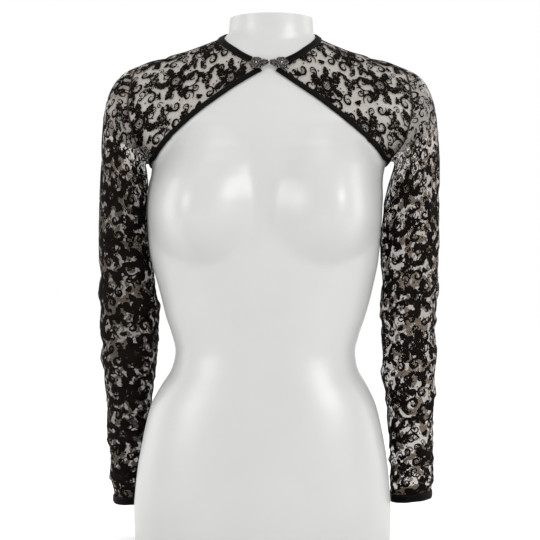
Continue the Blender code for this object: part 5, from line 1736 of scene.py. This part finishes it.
def neck_band_lines(form):
    edges = []
    for beyond in (0.0, NECK_BAND_WIDTH + SEAM_GAP + BAND_OVERLAP):
        halves = []
        for side in (-1, 1):
            front = neck_line(form, side, 1, beyond)
            halves.append(np.vstack([front, neck_line(form, side, -1, beyond)[1:]]))
        edges.append(np.vstack([halves[0], halves[1][-2::-1]]))
    return edges


def hem_band_lines(form, table, sides, facing):
    edges = [lower_edge(form, table, side, facing, HEM_STEPS) for side in sides]
    width = HEM_BAND_WIDTH + SEAM_GAP + BAND_OVERLAP
    strips = [np.stack([edge, above_edge(form, edge, width, facing)]) for edge in edges]
    if len(strips) == 1:
        return strips[0]
    return np.concatenate([strips[0][:, ::-1], strips[1][:, 1:]], axis=1)


# The studio.


def set_studio(material):
    floor = bpy.data.meshes.new("studio_floor")
    corners = [(x * FLOOR_REACH, y * FLOOR_REACH, 0) for x, y in ((-1, -1), (1, -1), (1, 1), (-1, 1))]
    floor.from_pydata(corners, [], [(0, 1, 2, 3)])
    floor.materials.append(material)
    ground = new_object("studio_floor", floor)
    world = bpy.data.worlds.new("studio_white")
    world.use_nodes = True
    background = world.node_tree.nodes["Background"]
    background.inputs["Color"].default_value = (1.0, 1.0, 1.0, 1.0)
    background.inputs["Strength"].default_value = 1.0
    bpy.context.scene.world = world
    bpy.context.scene.view_settings.view_transform = "Standard"


def set_lights():
    for name, place, size, power in LIGHTS:
        light = bpy.data.lights.new(name, "AREA")
        light.shape = "RECTANGLE"
        light.size, light.size_y = size
        light.energy = power
        lamp = new_object(name, light)
        lamp.location = place
        aim = Vector(LIGHT_AIM) - Vector(place)
        lamp.rotation_euler = aim.to_track_quat("-Z", "Y").to_euler()


def set_camera():
    lens = bpy.data.cameras.new("photo_camera")
    lens.sensor_width = SENSOR_WIDTH
    lens.lens = CAMERA_LENS
    camera = new_object("photo_camera", lens)
    camera.location = CAMERA_PLACE
    camera.rotation_euler = (math.pi / 2, 0.0, 0.0)
    bpy.context.scene.camera = camera


# The jacket, piece by piece.


def bound_edge(node, first, second, closed, binding, thread):
    """The band over a node of binding, with its row of stitches."""
    band = band_piece(node + "_ribbon", first, second, closed, binding)
    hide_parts(node)
    return [band, stitch_row(node + "_stitches", first, second, closed, thread)]


def lay_cloth(node, cloth, net, flock, trims, cut, held, rests_on, gathering=None, gathered=0.0):
    """The net and the flock of one piece of the cloth; the trims that it carries are not used. The
    gathering says, from 0 to 1, which of its rows hang gathered."""
    if gathering is None:
        gathering = np.zeros(len(cloth.grid))
    # How far its rows hang gathered also sets the painted shade in the net's tone.
    sheet = net_piece(node + "_net", cloth, net, gathering[:, None] * gathered)
    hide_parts(node)
    pile = flock_piece(node + "_flock", cloth, flock, gathering, *PATTERN_PLACES[node])


def make_fronts(form, net, flock, seam, binding, thread):
    for side, name in ((-1, "right"), (1, "left")):
        grid = front_grid(form, side)
        lines = hem_band_lines(form, FRONT_EDGE, (side,), 1)
        trims = bound_edge("hem_binding_" + name, *lines, False, binding, thread)
        trims.append(welt_piece("shoulder_welt_" + name, grid[0], seam))
        trims.append(welt_piece("armhole_welt_" + name + "_front", grid[:, -1], seam))
        cloth = Cloth(grid, panel_flat(grid))
        rests_on = ["dress_form_shell"]
        lay_cloth("front_" + name, cloth, net, flock, trims, CUTS["front"], "draped", rests_on)


def make_back(form, net, flock, seam, binding, thread):
    grid = back_grid(form)
    lines = hem_band_lines(form, BACK_EDGE, (-1, 1), -1)
    trims = bound_edge("hem_binding_back", *lines, False, binding, thread)
    trims += bound_edge("neck_binding", *neck_band_lines(form), False, binding, thread)
    trims.append(welt_piece("armhole_welt_right_back", grid[:, 0], seam))
    trims.append(welt_piece("armhole_welt_left_back", grid[:, -1], seam))
    cloth = Cloth(grid, panel_flat(grid))
    lay_cloth("back", cloth, net, flock, trims, CUTS["back"], "draped", ["dress_form_shell"])


def make_sleeves(form, net, flock, seam, binding, thread):
    for side, name, table, folds in (
        (-1, "right", SLEEVE_RIGHT, FOLDS_RIGHT + CREASES_RIGHT),
        (1, "left", SLEEVE_LEFT, FOLDS_LEFT + CREASES_LEFT),
    ):
        cloth = sleeve_cloth(form, side, table, folds)
        lines = cuff_lines(cloth.grid[-1, :-1])
        trims = bound_edge("cuff_band_" + name, *lines, True, binding, thread)
        trims.append(welt_piece("sleeve_welt_" + name, cloth.grid[:, 0], seam))
        gathering = smooth_step((sleeve_stations()[:, 0] - GATHER_START) / GATHER_LENGTH)
        rests_on = ["dress_form_shell", "front_" + name + "_net", "back_net"]
        # The gathered share also sets the painted shade in the net's tone, deeper on the right sleeve.
        hang = ("hung", rests_on, gathering, GATHERED_AND_SHADE[name])
        lay_cloth("sleeve_" + name, cloth, net, flock, trims, CUTS["sleeve"], *hang)


def make_clasp(form):
    filigree = metal_finish("antique_filigree")
    wire = metal_finish("antique_wire", DARK_WIRE)
    bright_wire = metal_finish("antique_bright_wire", BRIGHT_WIRE)
    for side, name, arm in ((-1, "right", "clasp_hook"), (1, "left", "clasp_bar")):
        rosette_piece(form, side, "clasp_rosette_" + name, filigree)
        lobe_piece(side, arm, "clasp_lobe_" + name, filigree)
    for name, material in (("clasp_eye", bright_wire), ("clasp_hook", wire), ("clasp_bar", wire)):
        for slot in bpy.data.objects[name].material_slots:
            slot.material = material


def main():
    set_camera()
    set_studio(floor_finish())
    set_lights()
    form = FormSurface()
    form_piece(gloss_finish())
    finishes = (net_finish(), flock_finish(), seam_finish(), binding_finish(), thread_finish())
    make_fronts(form, *finishes)
    make_back(form, *finishes)
    make_sleeves(form, *finishes)
    make_clasp(form)


main()
